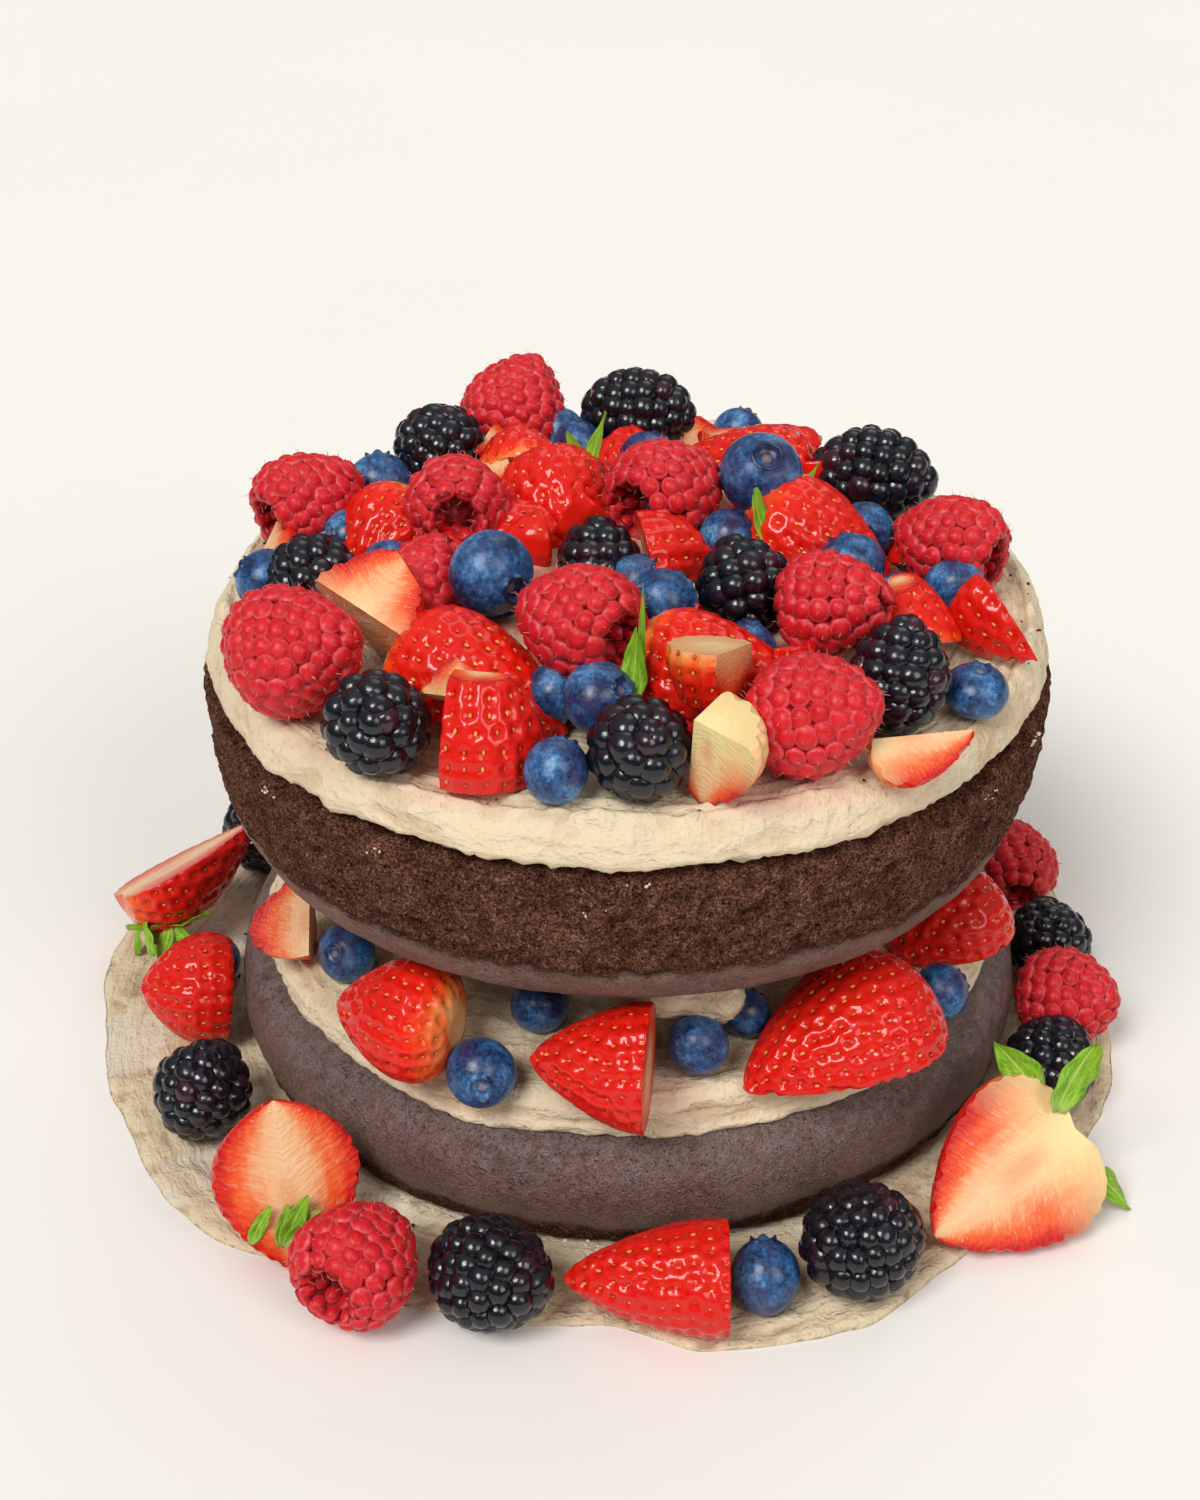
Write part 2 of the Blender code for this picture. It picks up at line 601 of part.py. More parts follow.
def keep_main_body(item):
    """Drops loose scraps and fills sealed hollows, which are separate shells."""
    body = bmesh.new()
    body.from_mesh(item.data)
    left = set(body.verts)
    shells = []
    while left:
        shell = []
        todo = [left.pop()]
        while todo:
            vert = todo.pop()
            shell.append(vert)
            for edge in vert.link_edges:
                other = edge.other_vert(vert)
                if other in left:
                    left.remove(other)
                    todo.append(other)
        shells.append(shell)
    shells.sort(key=len)
    scraps = [vert for shell in shells[:-1] for vert in shell]
    bmesh.ops.delete(body, geom=scraps, context="VERTS")
    for face in body.faces:
        face.material_index = 0
    body.to_mesh(item.data)
    body.free()
    shade(item.data)


def make_strawberry_leaves(fruit, leaves, materials):
    """Leaves that start inside the stem end of a strawberry, to be fused to it."""
    stem = min(corner[2] for corner in fruit.bound_box) / MM
    face = max(corner[0] for corner in fruit.bound_box) / MM
    made = []
    for number, (start, length, turn, fold, width, roll) in enumerate(leaves):
        name = f"{fruit.name}_leaf_{number}"
        leaf = add_object(name, mesh_from(name, leaf_body(length, width)), materials["strawberry"])
        base = Matrix.Translation(metres(face - LEAF_INSET, 0, stem + LEAF_DEPTH))
        spread = Matrix.Rotation(math.radians(turn), 4, "Z") @ Matrix.Translation(metres(start, 0, 0))
        folded = Matrix.Rotation(math.radians(fold), 4, "Y") @ Matrix.Rotation(math.radians(roll), 4, "X")
        leaf.matrix_world = fruit.matrix_world @ base @ spread @ folded
        made.append(leaf)
    return made


def make_heap(materials):
    """The heap of fruit on the top cream: a low core with every piece of fruit fused to it."""
    floor = TOP_CREAM_TOP + 0.4 + GAP
    edge = ripple(51, (2, 3, 5))

    def outline(angle):
        reach = 55.0 + 7.0 * math.sin(angle) + 1.5 * edge(angle)
        return (
            (0, floor),
            (reach, floor),
            (reach - 3, floor + 0.4 * HEAP_CORE_HEIGHT),
            (0.7 * reach, floor + 0.8 * HEAP_CORE_HEIGHT),
            (0, floor + HEAP_CORE_HEIGHT),
        )

    heap = add_object("berry_heap", mesh_from("berry_heap", turned_body(outline, 20)), materials["raspberry"])
    pieces = []
    for number, (kind, x, y, z, radius, length, turn, lift, spin, cuts) in enumerate(HEAP_FRUIT + HEAP_BACK):
        name = f"heap_{kind}_{number}"
        place = (x, y, z)
        pieces.append(make_fruit(name, kind, place, radius, length, turn, lift, spin, cuts, materials))
    for number, (x, y, z, length, width, turn, lift, roll) in enumerate(HEAP_LEAVES):
        name = f"heap_leaf_{number}"
        leaf = add_object(name, mesh_from(name, leaf_body(length, width)), materials["strawberry"])
        raised = fruit_turn(turn, lift, 0) @ Matrix.Rotation(math.radians(-90), 4, "Y")
        leaf.matrix_world = (
            Matrix.Translation(metres(x, y, z)) @ raised @ Matrix.Rotation(math.radians(roll), 4, "X")
        )
        pieces.append(leaf)
    join_on(heap, pieces)
    flatten_below(heap, floor * MM)
    return heap


def flatten_below(item, level):
    """Cuts away what reaches below a level, so that the piece lies flat."""
    body = bmesh.new()
    body.from_mesh(item.data)
    everything = body.verts[:] + body.edges[:] + body.faces[:]
    cut = bmesh.ops.bisect_plane(
        body, geom=everything, dist=1e-7, plane_co=(0, 0, level + 1e-5), plane_no=(0, 0, -1),
        clear_outer=True,
    )
    edges = [part for part in cut["geom_cut"] if isinstance(part, bmesh.types.BMEdge)]
    bmesh.ops.edgeloop_fill(body, edges=edges)
    bmesh.ops.recalc_face_normals(body, faces=body.faces)
    body.to_mesh(item.data)
    body.free()
    keep_main_body(item)


def solid_points(item, swell):
    """World corners and faces of an object, in mm, with each corner pushed out by swell."""
    body = bmesh.new()
    body.from_mesh(item.data)
    bmesh.ops.triangulate(body, faces=body.faces)
    body.normal_update()
    turn = item.matrix_world
    away = turn.to_3x3()
    corners = [turn @ vert.co / MM + (away @ vert.normal).normalized() * swell for vert in body.verts]
    faces = [[vert.index for vert in face.verts] for face in body.faces]
    body.free()
    return corners, faces


def tree_of(corners, faces):
    return BVHTree.FromPolygons(corners, faces)


def resting_height(corners, faces, fixed, shift, floor):
    """How far a piece has to be raised from its table height to lie clear, at a sideways shift."""
    start = floor - SINK - min(corner.z for corner in corners)

    def free(rise):
        moved = [corner + Vector((*shift, rise)) for corner in corners]
        return not tree_of(moved, faces).overlap(fixed)

    height = start
    while height < start + RISE_MOST and not free(height):
        height += RISE_STEP
    clear, blocked = height, height - RISE_STEP
    for _ in range(5):
        middle = (clear + blocked) / 2
        if free(middle):
            clear = middle
        else:
            blocked = middle
    return clear


def settle(piece, around, floor):
    """Lays a piece on what is below it, sliding it a little where that lets it lie lower."""
    corners, faces = solid_points(piece, GAP)
    near_corners = []
    near_faces = []
    for other in around:
        other_corners, other_faces = solid_points(other, 0.0)
        start = len(near_corners)
        near_corners.extend(other_corners)
        near_faces.extend([start + index for index in face] for face in other_faces)
    fixed = tree_of(near_corners, near_faces)
    best = None
    for ring in range(SLIDE_RINGS + 1):
        for way in range(SLIDE_WAYS if ring else 1):
            angle = math.tau * way / SLIDE_WAYS
            reach = ring * SLIDE_STEP
            shift = (reach * math.cos(angle), reach * math.sin(angle))
            rise = resting_height(corners, faces, fixed, shift, floor)
            cost = rise + SLIDE_COST * reach
            if best is None or cost < best[0]:
                best = (cost, shift, rise)
    _, shift, rise = best
    piece.matrix_world = Matrix.Translation(metres(*shift, rise)) @ piece.matrix_world


def place_round(degrees, distance):
    angle = math.radians(degrees)
    return distance * math.cos(angle), distance * math.sin(angle)


def ring_rows(front, back):
    """All rows of a ring of fruit, with the far side's places worked out from their angles."""
    rows = list(front)
    for name, kind, degrees, distance, *rest in back:
        rows.append((name, kind, *place_round(degrees, distance), *rest))
    return rows


def make_ring(rows, level, supports, materials):
    """Lays each fruit of a ring on what carries it and beside the fruit laid before it."""
    laid = []
    for name, kind, x, y, radius, length, turn, lift, spin, cuts in rows:
        place = (x, y, level + radius)
        fruit = make_fruit(name, kind, place, radius, length, turn, lift, spin, cuts, materials)
        leaves = STRAWBERRY_LEAVES.get(name)
        if leaves:
            join_on(fruit, make_strawberry_leaves(fruit, leaves, materials))
        settle(fruit, supports + laid, level)
        laid.append(fruit)
    return laid


def make_cake():
    clear_scene()
    materials = make_materials()
    foot_cream = make_foot_cream(materials["cream"])
    lower = make_lower_sponge(materials["sponge"])
    filling = make_filling_cream(materials["cream"])
    upper = make_upper_sponge(materials["sponge"])
    top_cream = make_top_cream(materials["cream"])
    heap = make_heap(materials)
    make_ring(TOP_FRUIT, TOP_CREAM_TOP, [top_cream, heap], materials)
    make_ring(ring_rows(FILLING_FRUIT, FILLING_BACK), FILLING_TOP, [filling, lower, upper], materials)
    make_ring(ring_rows(FOOT_FRUIT, FOOT_BACK), FOOT_CREAM_TOP, [foot_cream, lower], materials)
    bpy.context.view_layer.update()


make_cake()
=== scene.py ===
"""The looks of a naked chocolate layer cake with cream and fresh fruit, built on its CAD frame.

Every fruit is built at true size in its own axes, with its own +Z running from stem to tip, and is then
set where the CAD solid it replaces is. The sponges and the cream are turned bodies with real relief.
"""

import itertools
import json
import math
import random

import bmesh
import bpy
import numpy as np
from mathutils import Matrix, Vector
from mathutils.kdtree import KDTree

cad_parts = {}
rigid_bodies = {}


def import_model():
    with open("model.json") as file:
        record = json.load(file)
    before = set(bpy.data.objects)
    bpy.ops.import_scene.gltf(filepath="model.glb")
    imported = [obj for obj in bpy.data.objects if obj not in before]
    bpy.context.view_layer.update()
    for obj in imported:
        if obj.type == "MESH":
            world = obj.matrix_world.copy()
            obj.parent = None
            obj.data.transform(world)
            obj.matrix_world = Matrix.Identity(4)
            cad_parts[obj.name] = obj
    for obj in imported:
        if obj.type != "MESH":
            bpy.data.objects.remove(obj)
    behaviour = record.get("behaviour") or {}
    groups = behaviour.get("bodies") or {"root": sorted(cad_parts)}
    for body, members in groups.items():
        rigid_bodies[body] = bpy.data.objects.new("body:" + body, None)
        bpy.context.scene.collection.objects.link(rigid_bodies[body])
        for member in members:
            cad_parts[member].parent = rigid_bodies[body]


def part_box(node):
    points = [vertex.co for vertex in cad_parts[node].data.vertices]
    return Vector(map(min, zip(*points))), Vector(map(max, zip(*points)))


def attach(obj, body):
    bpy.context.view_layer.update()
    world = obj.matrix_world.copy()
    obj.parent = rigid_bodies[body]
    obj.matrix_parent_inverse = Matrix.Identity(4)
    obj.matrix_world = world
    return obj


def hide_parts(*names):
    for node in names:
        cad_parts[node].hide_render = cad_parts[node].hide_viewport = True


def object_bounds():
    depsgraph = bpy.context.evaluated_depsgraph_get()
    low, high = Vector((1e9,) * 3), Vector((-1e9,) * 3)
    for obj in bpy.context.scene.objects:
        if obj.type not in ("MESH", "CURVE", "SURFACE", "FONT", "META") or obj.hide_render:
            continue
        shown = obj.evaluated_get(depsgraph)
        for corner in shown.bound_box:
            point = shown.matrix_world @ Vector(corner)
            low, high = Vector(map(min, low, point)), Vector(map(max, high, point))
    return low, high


MM = 0.001

# The camera, in metres, degrees and shares of the picture's long side
CAMERA_TARGET_HEIGHT = 0.05
CAMERA_DISTANCE = 0.436
CAMERA_LOOKS_DOWN = 33.8
CAMERA_LENS = 54.91
CAMERA_SENSOR = 36.0
CAMERA_SHIFT_X = -0.01867
CAMERA_SHIFT_Y = 0.026
CAMERA_CLIP = 0.01

# The suns: name, turn round the cake, height, how wide they look, power and colour. Angles are in degrees.
SUNS = (
    ("key", -125, 52, 24, 2.15, (1.0, 0.98, 0.96)),
    ("fill", -50, 38, 28, 0.85, (1.0, 0.99, 0.97)),
    ("back", 70, 50, 35, 0.35, (0.96, 0.98, 1.0)),
)
SKY_AT_HORIZON = 0.04
SKY_OVERHEAD = 0.54
FLOOR_HALF = 6.0  # m

# The cake, in mm, as in its CAD source
TIN_RADIUS = 76.0
FOOT_CREAM_TOP = 2.0
LOWER_SHOULDER = 23.6
LOWER_DOME_TOP = 30.0
FILLING_RADIUS = 68.0
FILLING_TOP = 32.4
FILLING_CORE_RADIUS = 41.0
UPPER_DOME_LOW = 50.0
UPPER_RIM = 84.5
TOP_CREAM_RADIUS = 73.0
TOP_CREAM_TOP = 93.0
HEAP_CORE_HEIGHT = 10.5
PRESS = 0.5  # mm that a fruit is pressed into what carries it
MIDDLE = 0.5  # mm from the axis at which an outline begins and ends
TOUCH = 0.1  # mm between bodies that lie on one another

# Open crumb shows on the upper sponge from this height up, and on the lower one up to this height, in mm
UPPER_CRUMB_FROM = 62.5
LOWER_CRUMB_TO = 10.0

# The cream that hangs at the front of the filling, in mm: half its size, its middle and its layers
DOLLOP_HALF = (9.5, 5.0, 5.5)
DOLLOP_AT = (11.5, -54.0, 44.5)
DOLLOP_LAYER = 1.4

# How finely the skin of a strawberry is divided, in mm: one that shows, and one low in the heap
STRAWBERRY_STEP = 0.7
HIDDEN_STEP = 1.3

# Leaves on a strawberry, in mm: how far below its stem end and inside its side they start, and how thick
LEAF_DEPTH = 2.4
LEAF_INSET = 2.5
LEAF_THICK = 0.5

# The material slots of raspberries and strawberries. Slot 0 is their beads or their skin.
CAP_SLOT = 1
HAIR_SLOT = 2
FLESH_SLOT = 1
SEED_SLOT = 2
LEAF_SLOT = 3

# The random draws of each fruit start from one of these, with the fruit's own number added
NODE_FRUIT_SEED = 1000
HEAP_FRUIT_SEED = 2000
FILLER_SEED = 3000

# The smear of cream that the cake stands on: angle in degrees, and reach from the axis in mm
SMEAR_REACH = (
    (-170, 104), (-150, 103), (-138, 102), (-128, 97), (-110, 93), (-93, 91), (-80, 97), (-66, 99),
    (-54, 95), (-40, 96), (-20, 97), (0, 96), (25, 98), (60, 98), (95, 99), (130, 101), (155, 106),
    (172, 108),
)

# What is cut away from a fruit: planes as (x, y, z, reach) in the fruit's own axes and in radii
WHOLE = ()
HALF = ((1, 0, 0, 0.0),)
QUARTER = ((1, 0, 0, 0.0), (0, 1, 0, 0.0))
STEM_OFF = ((0, 0, -1, 0.45),)
BLOCK = ((1, 0, 0, 0.0), (0, 1, 0, 0.4), (0, 0, -1, 0.85), (0, 0, 1, 0.75))
WEDGE = ((1, 0, 0, 0.05), (0, 1, 0, 0.3), (0, 0, -1, 0.8))
CHUNK = ((1, 0, 0, 0.2), (0, 0, -1, 0.35), (0, 0.4, 0.9, 0.75))
SLAB = ((0, 0, -1, 0.6), (0, 0, 1, 0.7), (0, 1, 0, 0.5))
TAIL = ((0, 0, -1, 1.0),)

# Fruit with a CAD node of its own: name, radius, length, turn and lift of its tip, spin about its own
# axis, cuts. The second word of the name is the kind. A blueberry's tip is the end with the crown.
NODE_FRUIT = (
    ("top_raspberry_left", 11.4, 24, -20, 25, 0, WHOLE),
    ("top_bramble_left", 9.0, 18.5, -80, 40, 0, WHOLE),
    ("top_strawberry_block", 10.5, 26, 80, 78, 0, BLOCK),
    ("top_blueberry_front", 5.2, 10.6, 60, 50, 0, WHOLE),
    ("top_bramble_front", 8.8, 18.5, -70, 45, 0, WHOLE),
    ("top_strawberry_wedge", 8.8, 19, 100, -78, 46, WEDGE),
    ("top_raspberry_front", 10.4, 23, -25, 25, 0, WHOLE),
    ("top_bramble_right", 8.4, 20, 70, 60, 0, WHOLE),
    ("top_blueberry_right", 5.6, 8.8, 0, 85, 0, WHOLE),
    ("top_strawberry_chip", 8.0, 17, 10, 0, 130, QUARTER),
    ("filling_strawberry_left", 10.5, 16, 90, 50, 180, QUARTER),
    ("filling_blueberry_left", 5.4, 9.6, -120, 30, 0, WHOLE),
    ("filling_strawberry_front_left", 10.6, 22, 162, 0, 0, WHOLE),
    ("filling_blueberry_front", 6.1, 11.4, -85, 10, 0, WHOLE),
    ("filling_blueberry_back", 5.2, 9.4, 90, 40, 0, WHOLE),
    ("filling_strawberry_front", 10.8, 30, 173, 0, 0, STEM_OFF),
    ("filling_blueberry_middle", 5.5, 10.4, 60, 30, 0, WHOLE),
    ("filling_blueberry_inner", 4.6, 8.4, 60, 30, 0, WHOLE),
    ("filling_strawberry_front_right", 14.6, 37, -152, -6, 10, HALF),
    ("filling_blueberry_right", 5.2, 9.6, 20, 20, 0, WHOLE),
    ("filling_strawberry_right", 11.4, 24, -145, -10, 0, HALF),
    ("filling_strawberry_far_right", 11.6, 27, 70, 0, 0, HALF),
    ("filling_blueberry_far_right", 5.6, 10.4, 80, 20, 0, WHOLE),
    ("filling_raspberry_back_right", 8.6, 19, 150, 5, 0, WHOLE),
    ("filling_strawberry_back", 12.6, 30, -15, 0, 0, HALF),
    ("filling_blueberry_back_left", 5.8, 10.6, 120, 20, 0, WHOLE),
    ("filling_strawberry_back_left", 12.0, 28, 40, 0, 0, HALF),
    ("filling_raspberry_far_left", 8.6, 19, 240, 5, 0, WHOLE),
    ("filling_strawberry_far_left", 9.6, 20, 85, 0, 0, HALF),
    ("foot_strawberry_far_left", 12.0, 31, 35, 12, 150, HALF),
    ("foot_blueberry_left", 4.9, 8.8, 180, 40, 0, WHOLE),
    ("foot_strawberry_left", 10.6, 24, 190, 10, -60, STEM_OFF),
    ("foot_bramble_left", 9.8, 20.5, 60, 30, 0, WHOLE),
    ("foot_strawberry_front_left", 12.8, 31, 110, 60, 180, HALF),
    ("foot_raspberry_front", 11.0, 23.5, 62, 0, 0, WHOLE),
    ("foot_bramble_front", 10.4, 23, -25, 5, 0, WHOLE),
    ("foot_strawberry_front", 9.4, 36, 180, 0, 0, TAIL),
    ("foot_blueberry_front", 6.0, 13, 95, 55, 0, WHOLE),
    ("foot_bramble_front_right", 10.2, 23, 20, 8, 0, WHOLE),
    ("foot_strawberry_right", 15.0, 33, -150, -22, 130, HALF),
    ("foot_bramble_right", 9.0, 20, 60, 20, 0, WHOLE),
    ("foot_raspberry_right", 9.8, 20.5, -30, 20, 0, WHOLE),
    ("foot_bramble_far_right", 8.8, 19, 90, 30, 0, WHOLE),
    ("foot_raspberry_far_right", 9.4, 20, 90, 25, 0, WHOLE),
    ("foot_blueberry_far_right", 5.6, 10, 30, 30, 0, WHOLE),
    ("foot_strawberry_back_right", 12.2, 29, 130, 0, 0, HALF),
    ("foot_bramble_back_right", 9.6, 21, 160, 10, 0, WHOLE),
    ("foot_raspberry_back_right", 10.2, 21, 30, 15, 0, WHOLE),
    ("foot_blueberry_back", 6.0, 11, 90, 40, 0, WHOLE),
    ("foot_strawberry_back", 13.0, 31, -5, 0, 0, HALF),
    ("foot_bramble_back", 10.0, 22, 200, 8, 0, WHOLE),
    ("foot_raspberry_back_left", 10.4, 21.5, 60, 20, 0, WHOLE),
    ("foot_blueberry_back_left", 6.2, 11.4, 150, 50, 0, WHOLE),
    ("foot_bramble_far_left", 9.4, 20, 70, 15, 0, WHOLE),
)

# The heap on top: kind, x, y, z, then radius, length, turn, lift, spin and cuts as above
HEAP_FRUIT = (
    ("raspberry", -22, 57, 103.5, 10.6, 22, 60, 45, 0, WHOLE),
    ("bramble", 2, 54, 103, 9.4, 24, -10, 0, 0, WHOLE),
    ("strawberry", -19.5, 32, 107, 8.6, 18, 100, 35, 20, CHUNK),
    ("bramble", -36, 37, 103.5, 8.8, 19, 150, 15, 0, WHOLE),
    ("blueberry", -47, 31, 99, 6.4, 11.6, 100, 50, 0, WHOLE),
    ("raspberry", -58, 17, 102.5, 9.8, 23, 40, 8, 0, WHOLE),
    ("strawberry", -45, 5, 103, 9.6, 22, -120, -20, 0, HALF),
    ("raspberry", -30.5, 7, 107, 9.6, 20, 92, -4, 0, WHOLE),
    ("strawberry", -12, 15, 104.5, 11.4, 26, -75, -15, 0, HALF),
    ("strawberry", -17, 4, 104, 8.0, 18, 0, 20, 30, CHUNK),
    ("strawberry", 0, 42, 102, 8.0, 18, 100, 40, 0, CHUNK),
    ("raspberry", 7.5, 10, 108, 10.2, 24, 48, 0, 0, WHOLE),
    ("strawberry", 21, 36, 103, 11.0, 30, 170, 0, 0, HALF),
    ("blueberry", 24, 10.5, 111, 7.6, 13.6, -80, 55, 0, WHOLE),
    ("bramble", 46, 27, 102.5, 9.4, 25, -15, 0, 0, WHOLE),
    ("strawberry", 35.5, 2, 105, 11.8, 29, -28, -12, 0, HALF),
    ("raspberry", 57, 0, 102.5, 9.6, 22, 145, 5, 0, WHOLE),
    ("blueberry", -64, -6, 98.5, 5.6, 10.4, 180, 30, 0, WHOLE),
    ("bramble", -55, -8, 100.5, 7.6, 18, 5, 10, 0, WHOLE),
    ("strawberry", -40, -29, 107.5, 9.6, 22, 50, 25, 200, CHUNK),
    ("raspberry", -35, -18, 104, 8.6, 19, 60, 50, 0, WHOLE),
    ("blueberry", -23, -23, 109, 7.4, 13.4, -50, -5, 0, WHOLE),
    ("bramble", -5, -10, 104, 8.0, 17, 90, 60, 0, WHOLE),
    ("strawberry", 9, -9, 106.5, 9.0, 20, 10, 10, 40, CHUNK),
    ("blueberry", 18, 1, 103, 5.6, 10.4, 45, 40, 0, WHOLE),
    ("raspberry", -8.5, -39, 110.5, 9.8, 22, 142, 4, 0, WHOLE),
    ("blueberry", 6, -27.5, 106, 6.0, 11, 40, 40, 0, WHOLE),
    ("bramble", 19.5, -22, 106, 8.8, 18.5, 110, 45, 0, WHOLE),
    ("raspberry", 34.5, -30, 107, 9.2, 20, -20, 15, 0, WHOLE),
    ("blueberry", 38.5, -11, 104, 6.2, 11, 120, 50, 0, WHOLE),
    ("strawberry", 50, -24, 103, 9.6, 20, 100, 60, 60, CHUNK),
    ("blueberry", 57, -10, 99.5, 5.4, 9.6, 100, 50, 0, WHOLE),
    ("strawberry", 60, -25, 100, 8.6, 18, -60, -20, 30, QUARTER),
    ("strawberry", -23, -43, 103, 12.0, 32, -28, -10, 0, HALF),
    ("strawberry", -27.5, -51, 105, 5.0, 10, 80, 50, 200, CHUNK),
    ("blueberry", -4.5, -51, 101.5, 6.2, 11.4, -30, 35, 0, WHOLE),
    ("strawberry", 16, -41, 103.5, 11.6, 31, -12, -6, 0, HALF),
    ("strawberry", 11.5, -53, 107.5, 7.2, 18, -100, -72, 20, SLAB),
    ("blueberry", 22, 55, 98.5, 5.2, 9.4, 60, 40, 0, WHOLE),
    ("blueberry", -38, 50, 98.8, 5.6, 10, 120, 30, 0, WHOLE),
    ("blueberry", 58, 14, 98.4, 5.0, 9, 10, 40, 0, WHOLE),
    ("strawberry", -60, 2, 98.0, 8.0, 18, 80, 10, 60, QUARTER),
)

# Small fruit low in the heap, in rings: distance from the middle of the heap in mm, and how many
FILLER_RINGS = ((8, 2), (20, 5), (32, 8), (43, 11), (51, 14))
FILLER_MIDDLE_Y = 4
FILLER_HEIGHT = 103.5
FILLER_DROP = 5.0  # mm that they lie lower at the next distance from the middle
FILLER_DROP_REACH = 55

# Leaves: x, y, z, length, width, turn, lift and roll of the leaf, from its own base
HEAP_LEAVES = (
    (-10.5, 21, 100.5, 17, 5.0, 47, 44, 0),
    (-7.5, 32, 100.5, 9, 3.0, 142, 49, -30),
    (26, -4.5, 100.5, 14, 4.4, 138, 55, 0),
    (28.5, 11.5, 104, 10, 3.0, 41, 22, 0),
    (0.5, -51, 100.5, 12.5, 4.6, 73, 64, 0),
    (1.5, -50, 101.5, 18, 1.5, 76, 66, 0),
)
CALYX_FAR_LEFT = (
    (-93.5, 8.5, 11.0, 7.5, 3.4, 138, 56, 0),
    (-93.5, 8.5, 11.0, 8.0, 3.8, -163, -9, 20),
    (-93.0, 8.5, 10.5, 7.5, 3.4, -105, -47, 0),
    (-93.0, 8.5, 11.0, 9.0, 4.0, -5, 8, -20),
    (-93.0, 8.5, 11.5, 7.5, 3.2, 54, 60, 10),
    (-93.0, 8.5, 10.5, 7.0, 3.0, -30, -24, 30),
)
CALYX_FRONT_LEFT = (
    (-65.2, -77.8, 7.6, 7.5, 3.0, 54, 44, 44),
    (-59.8, -76.9, 6.1, 10.0, 4.2, 57, 46, 44),
    (-59.6, -76.8, 6.0, 9.0, 3.2, 41, 32, 54),
    (-60.4, -76.9, 6.1, 7.5, 2.8, 78, 50, 30),
)

# More leaves on strawberries: how far from the stem's axis the leaf starts, its length, turn round the
# stem, fold back from it, width and roll
STRAWBERRY_LEAVES = {
    "foot_strawberry_far_left": (
        (5, 9, 180, 15, 5.0, 20),
        (4, 9, 140, 35, 4.6, -20),
        (4, 9, -150, 40, 4.4, 10),
    ),
    "foot_strawberry_front_left": ((2, 8, 15, -45, 3.6, 30), (6, 9, 60, -25, 4.5, 20)),
    "foot_strawberry_right": ((8, 13, 90, -5, 7.0, 70), (5, 15, 60, 48, 8.0, 80), (8, 13, -95, 15, 5.0, 80)),
}

# How far down from the stem each strawberry is still pale, as a share of its length
USUAL_PALE = -0.04
PALE_TO = {
    "top_strawberry_wedge": 0.55,
    "top_strawberry_chip": 0.2,
    "top_strawberry_block": -0.1,
    "filling_strawberry_left": 0.0,
    "filling_strawberry_front_left": 0.12,
    "filling_strawberry_front_right": -0.15,
    "foot_strawberry_far_left": 0.04,
    "foot_strawberry_right": 0.32,
    "heap_strawberry_2": 0.4,
    "heap_strawberry_6": 0.12,
    "heap_strawberry_8": 0.04,
    "heap_strawberry_15": 0.12,
    "heap_strawberry_19": 0.4,
    "heap_strawberry_30": 0.35,
    "heap_strawberry_33": 0.02,
    "heap_strawberry_34": 0.5,
    "heap_strawberry_36": 0.12,
    "heap_strawberry_37": 0.42,
}

# How full a strawberry is towards its tip: the power of its length in its outline
USUAL_FULLNESS = 0.6
BLUNT_FULLNESS = 1.25
FULLNESS = {"foot_strawberry_front_left": BLUNT_FULLNESS, "foot_strawberry_left": 0.95}
STRAWBERRY_ROUNDNESS = 0.66


def srgb(red, green, blue):
    """A colour as it looks on a screen, from 0 to 255, as the linear values that a shader takes."""
    linear = []
    for value in (red, green, blue):
        share = value / 255
        linear.append(share / 12.92 if share <= 0.04045 else ((share + 0.055) / 1.055) ** 2.4)
    return (*linear, 1.0)


def show(name, data):
    """A new object with this data, in the scene."""
    item = bpy.data.objects.new(name, data)
    bpy.context.scene.collection.objects.link(item)
    return item


# Smooth noise, the same on every run

def hashed(cells, seed):
    """A repeatable number from -1 to 1 for each whole-numbered cell."""
    x, y, z = cells[..., 0], cells[..., 1], cells[..., 2]
    mixed = x * 73856093 ^ y * 19349663 ^ z * 83492791 ^ seed * 265443576
    mixed = (mixed ^ (mixed >> 13)) * 1274126177
    mixed = (mixed ^ (mixed >> 16)) * 668265263
    mixed = mixed ^ (mixed >> 15)
    return (mixed & 0xFFFFFF) / 0x7FFFFF - 1.0


def in_cells(points, cell):
    """Points in cells of a size, and the whole-numbered cell that each is in."""
    scaled = np.asarray(points, float) / cell
    return scaled, np.floor(scaled).astype(np.int64)


def noise(points, cell, seed):
    """Smooth noise from -1 to 1, with one swell about every cell mm, in the order of the points."""
    scaled, corner = in_cells(points, cell)
    part = scaled - corner
    ease = part * part * (3 - 2 * part)
    total = np.zeros(scaled.shape[:-1])
    for number in range(8):
        step = np.array([(number >> axis) & 1 for axis in range(3)])
        weight = np.prod(np.where(step == 1, ease, 1 - ease), axis=-1)
        total += weight * hashed(corner + step, seed)
    return total


def rough(points, cell, seed, layers=3, fade=0.5):
    """Noise with finer and fainter noise on top."""
    total = 0.0
    size = 1.0
    for layer in range(layers):
        total = total + size * noise(points, cell / 2**layer, seed + layer)
        size *= fade
    return total


def spots(points, cell, seed):
    """Distance, in cells, from each point to the nearest of many scattered spots."""
    scaled, corner = in_cells(points, cell)
    nearest = np.full(scaled.shape[:-1], 9.0)
    for step in itertools.product((-1, 0, 1), repeat=3):
        near = corner + np.array(step)
        shift = np.stack([hashed(near, seed + way) for way in range(3)], axis=-1)
        spot = near + 0.5 + 0.45 * shift
        nearest = np.minimum(nearest, np.linalg.norm(scaled - spot, axis=-1))
    return nearest


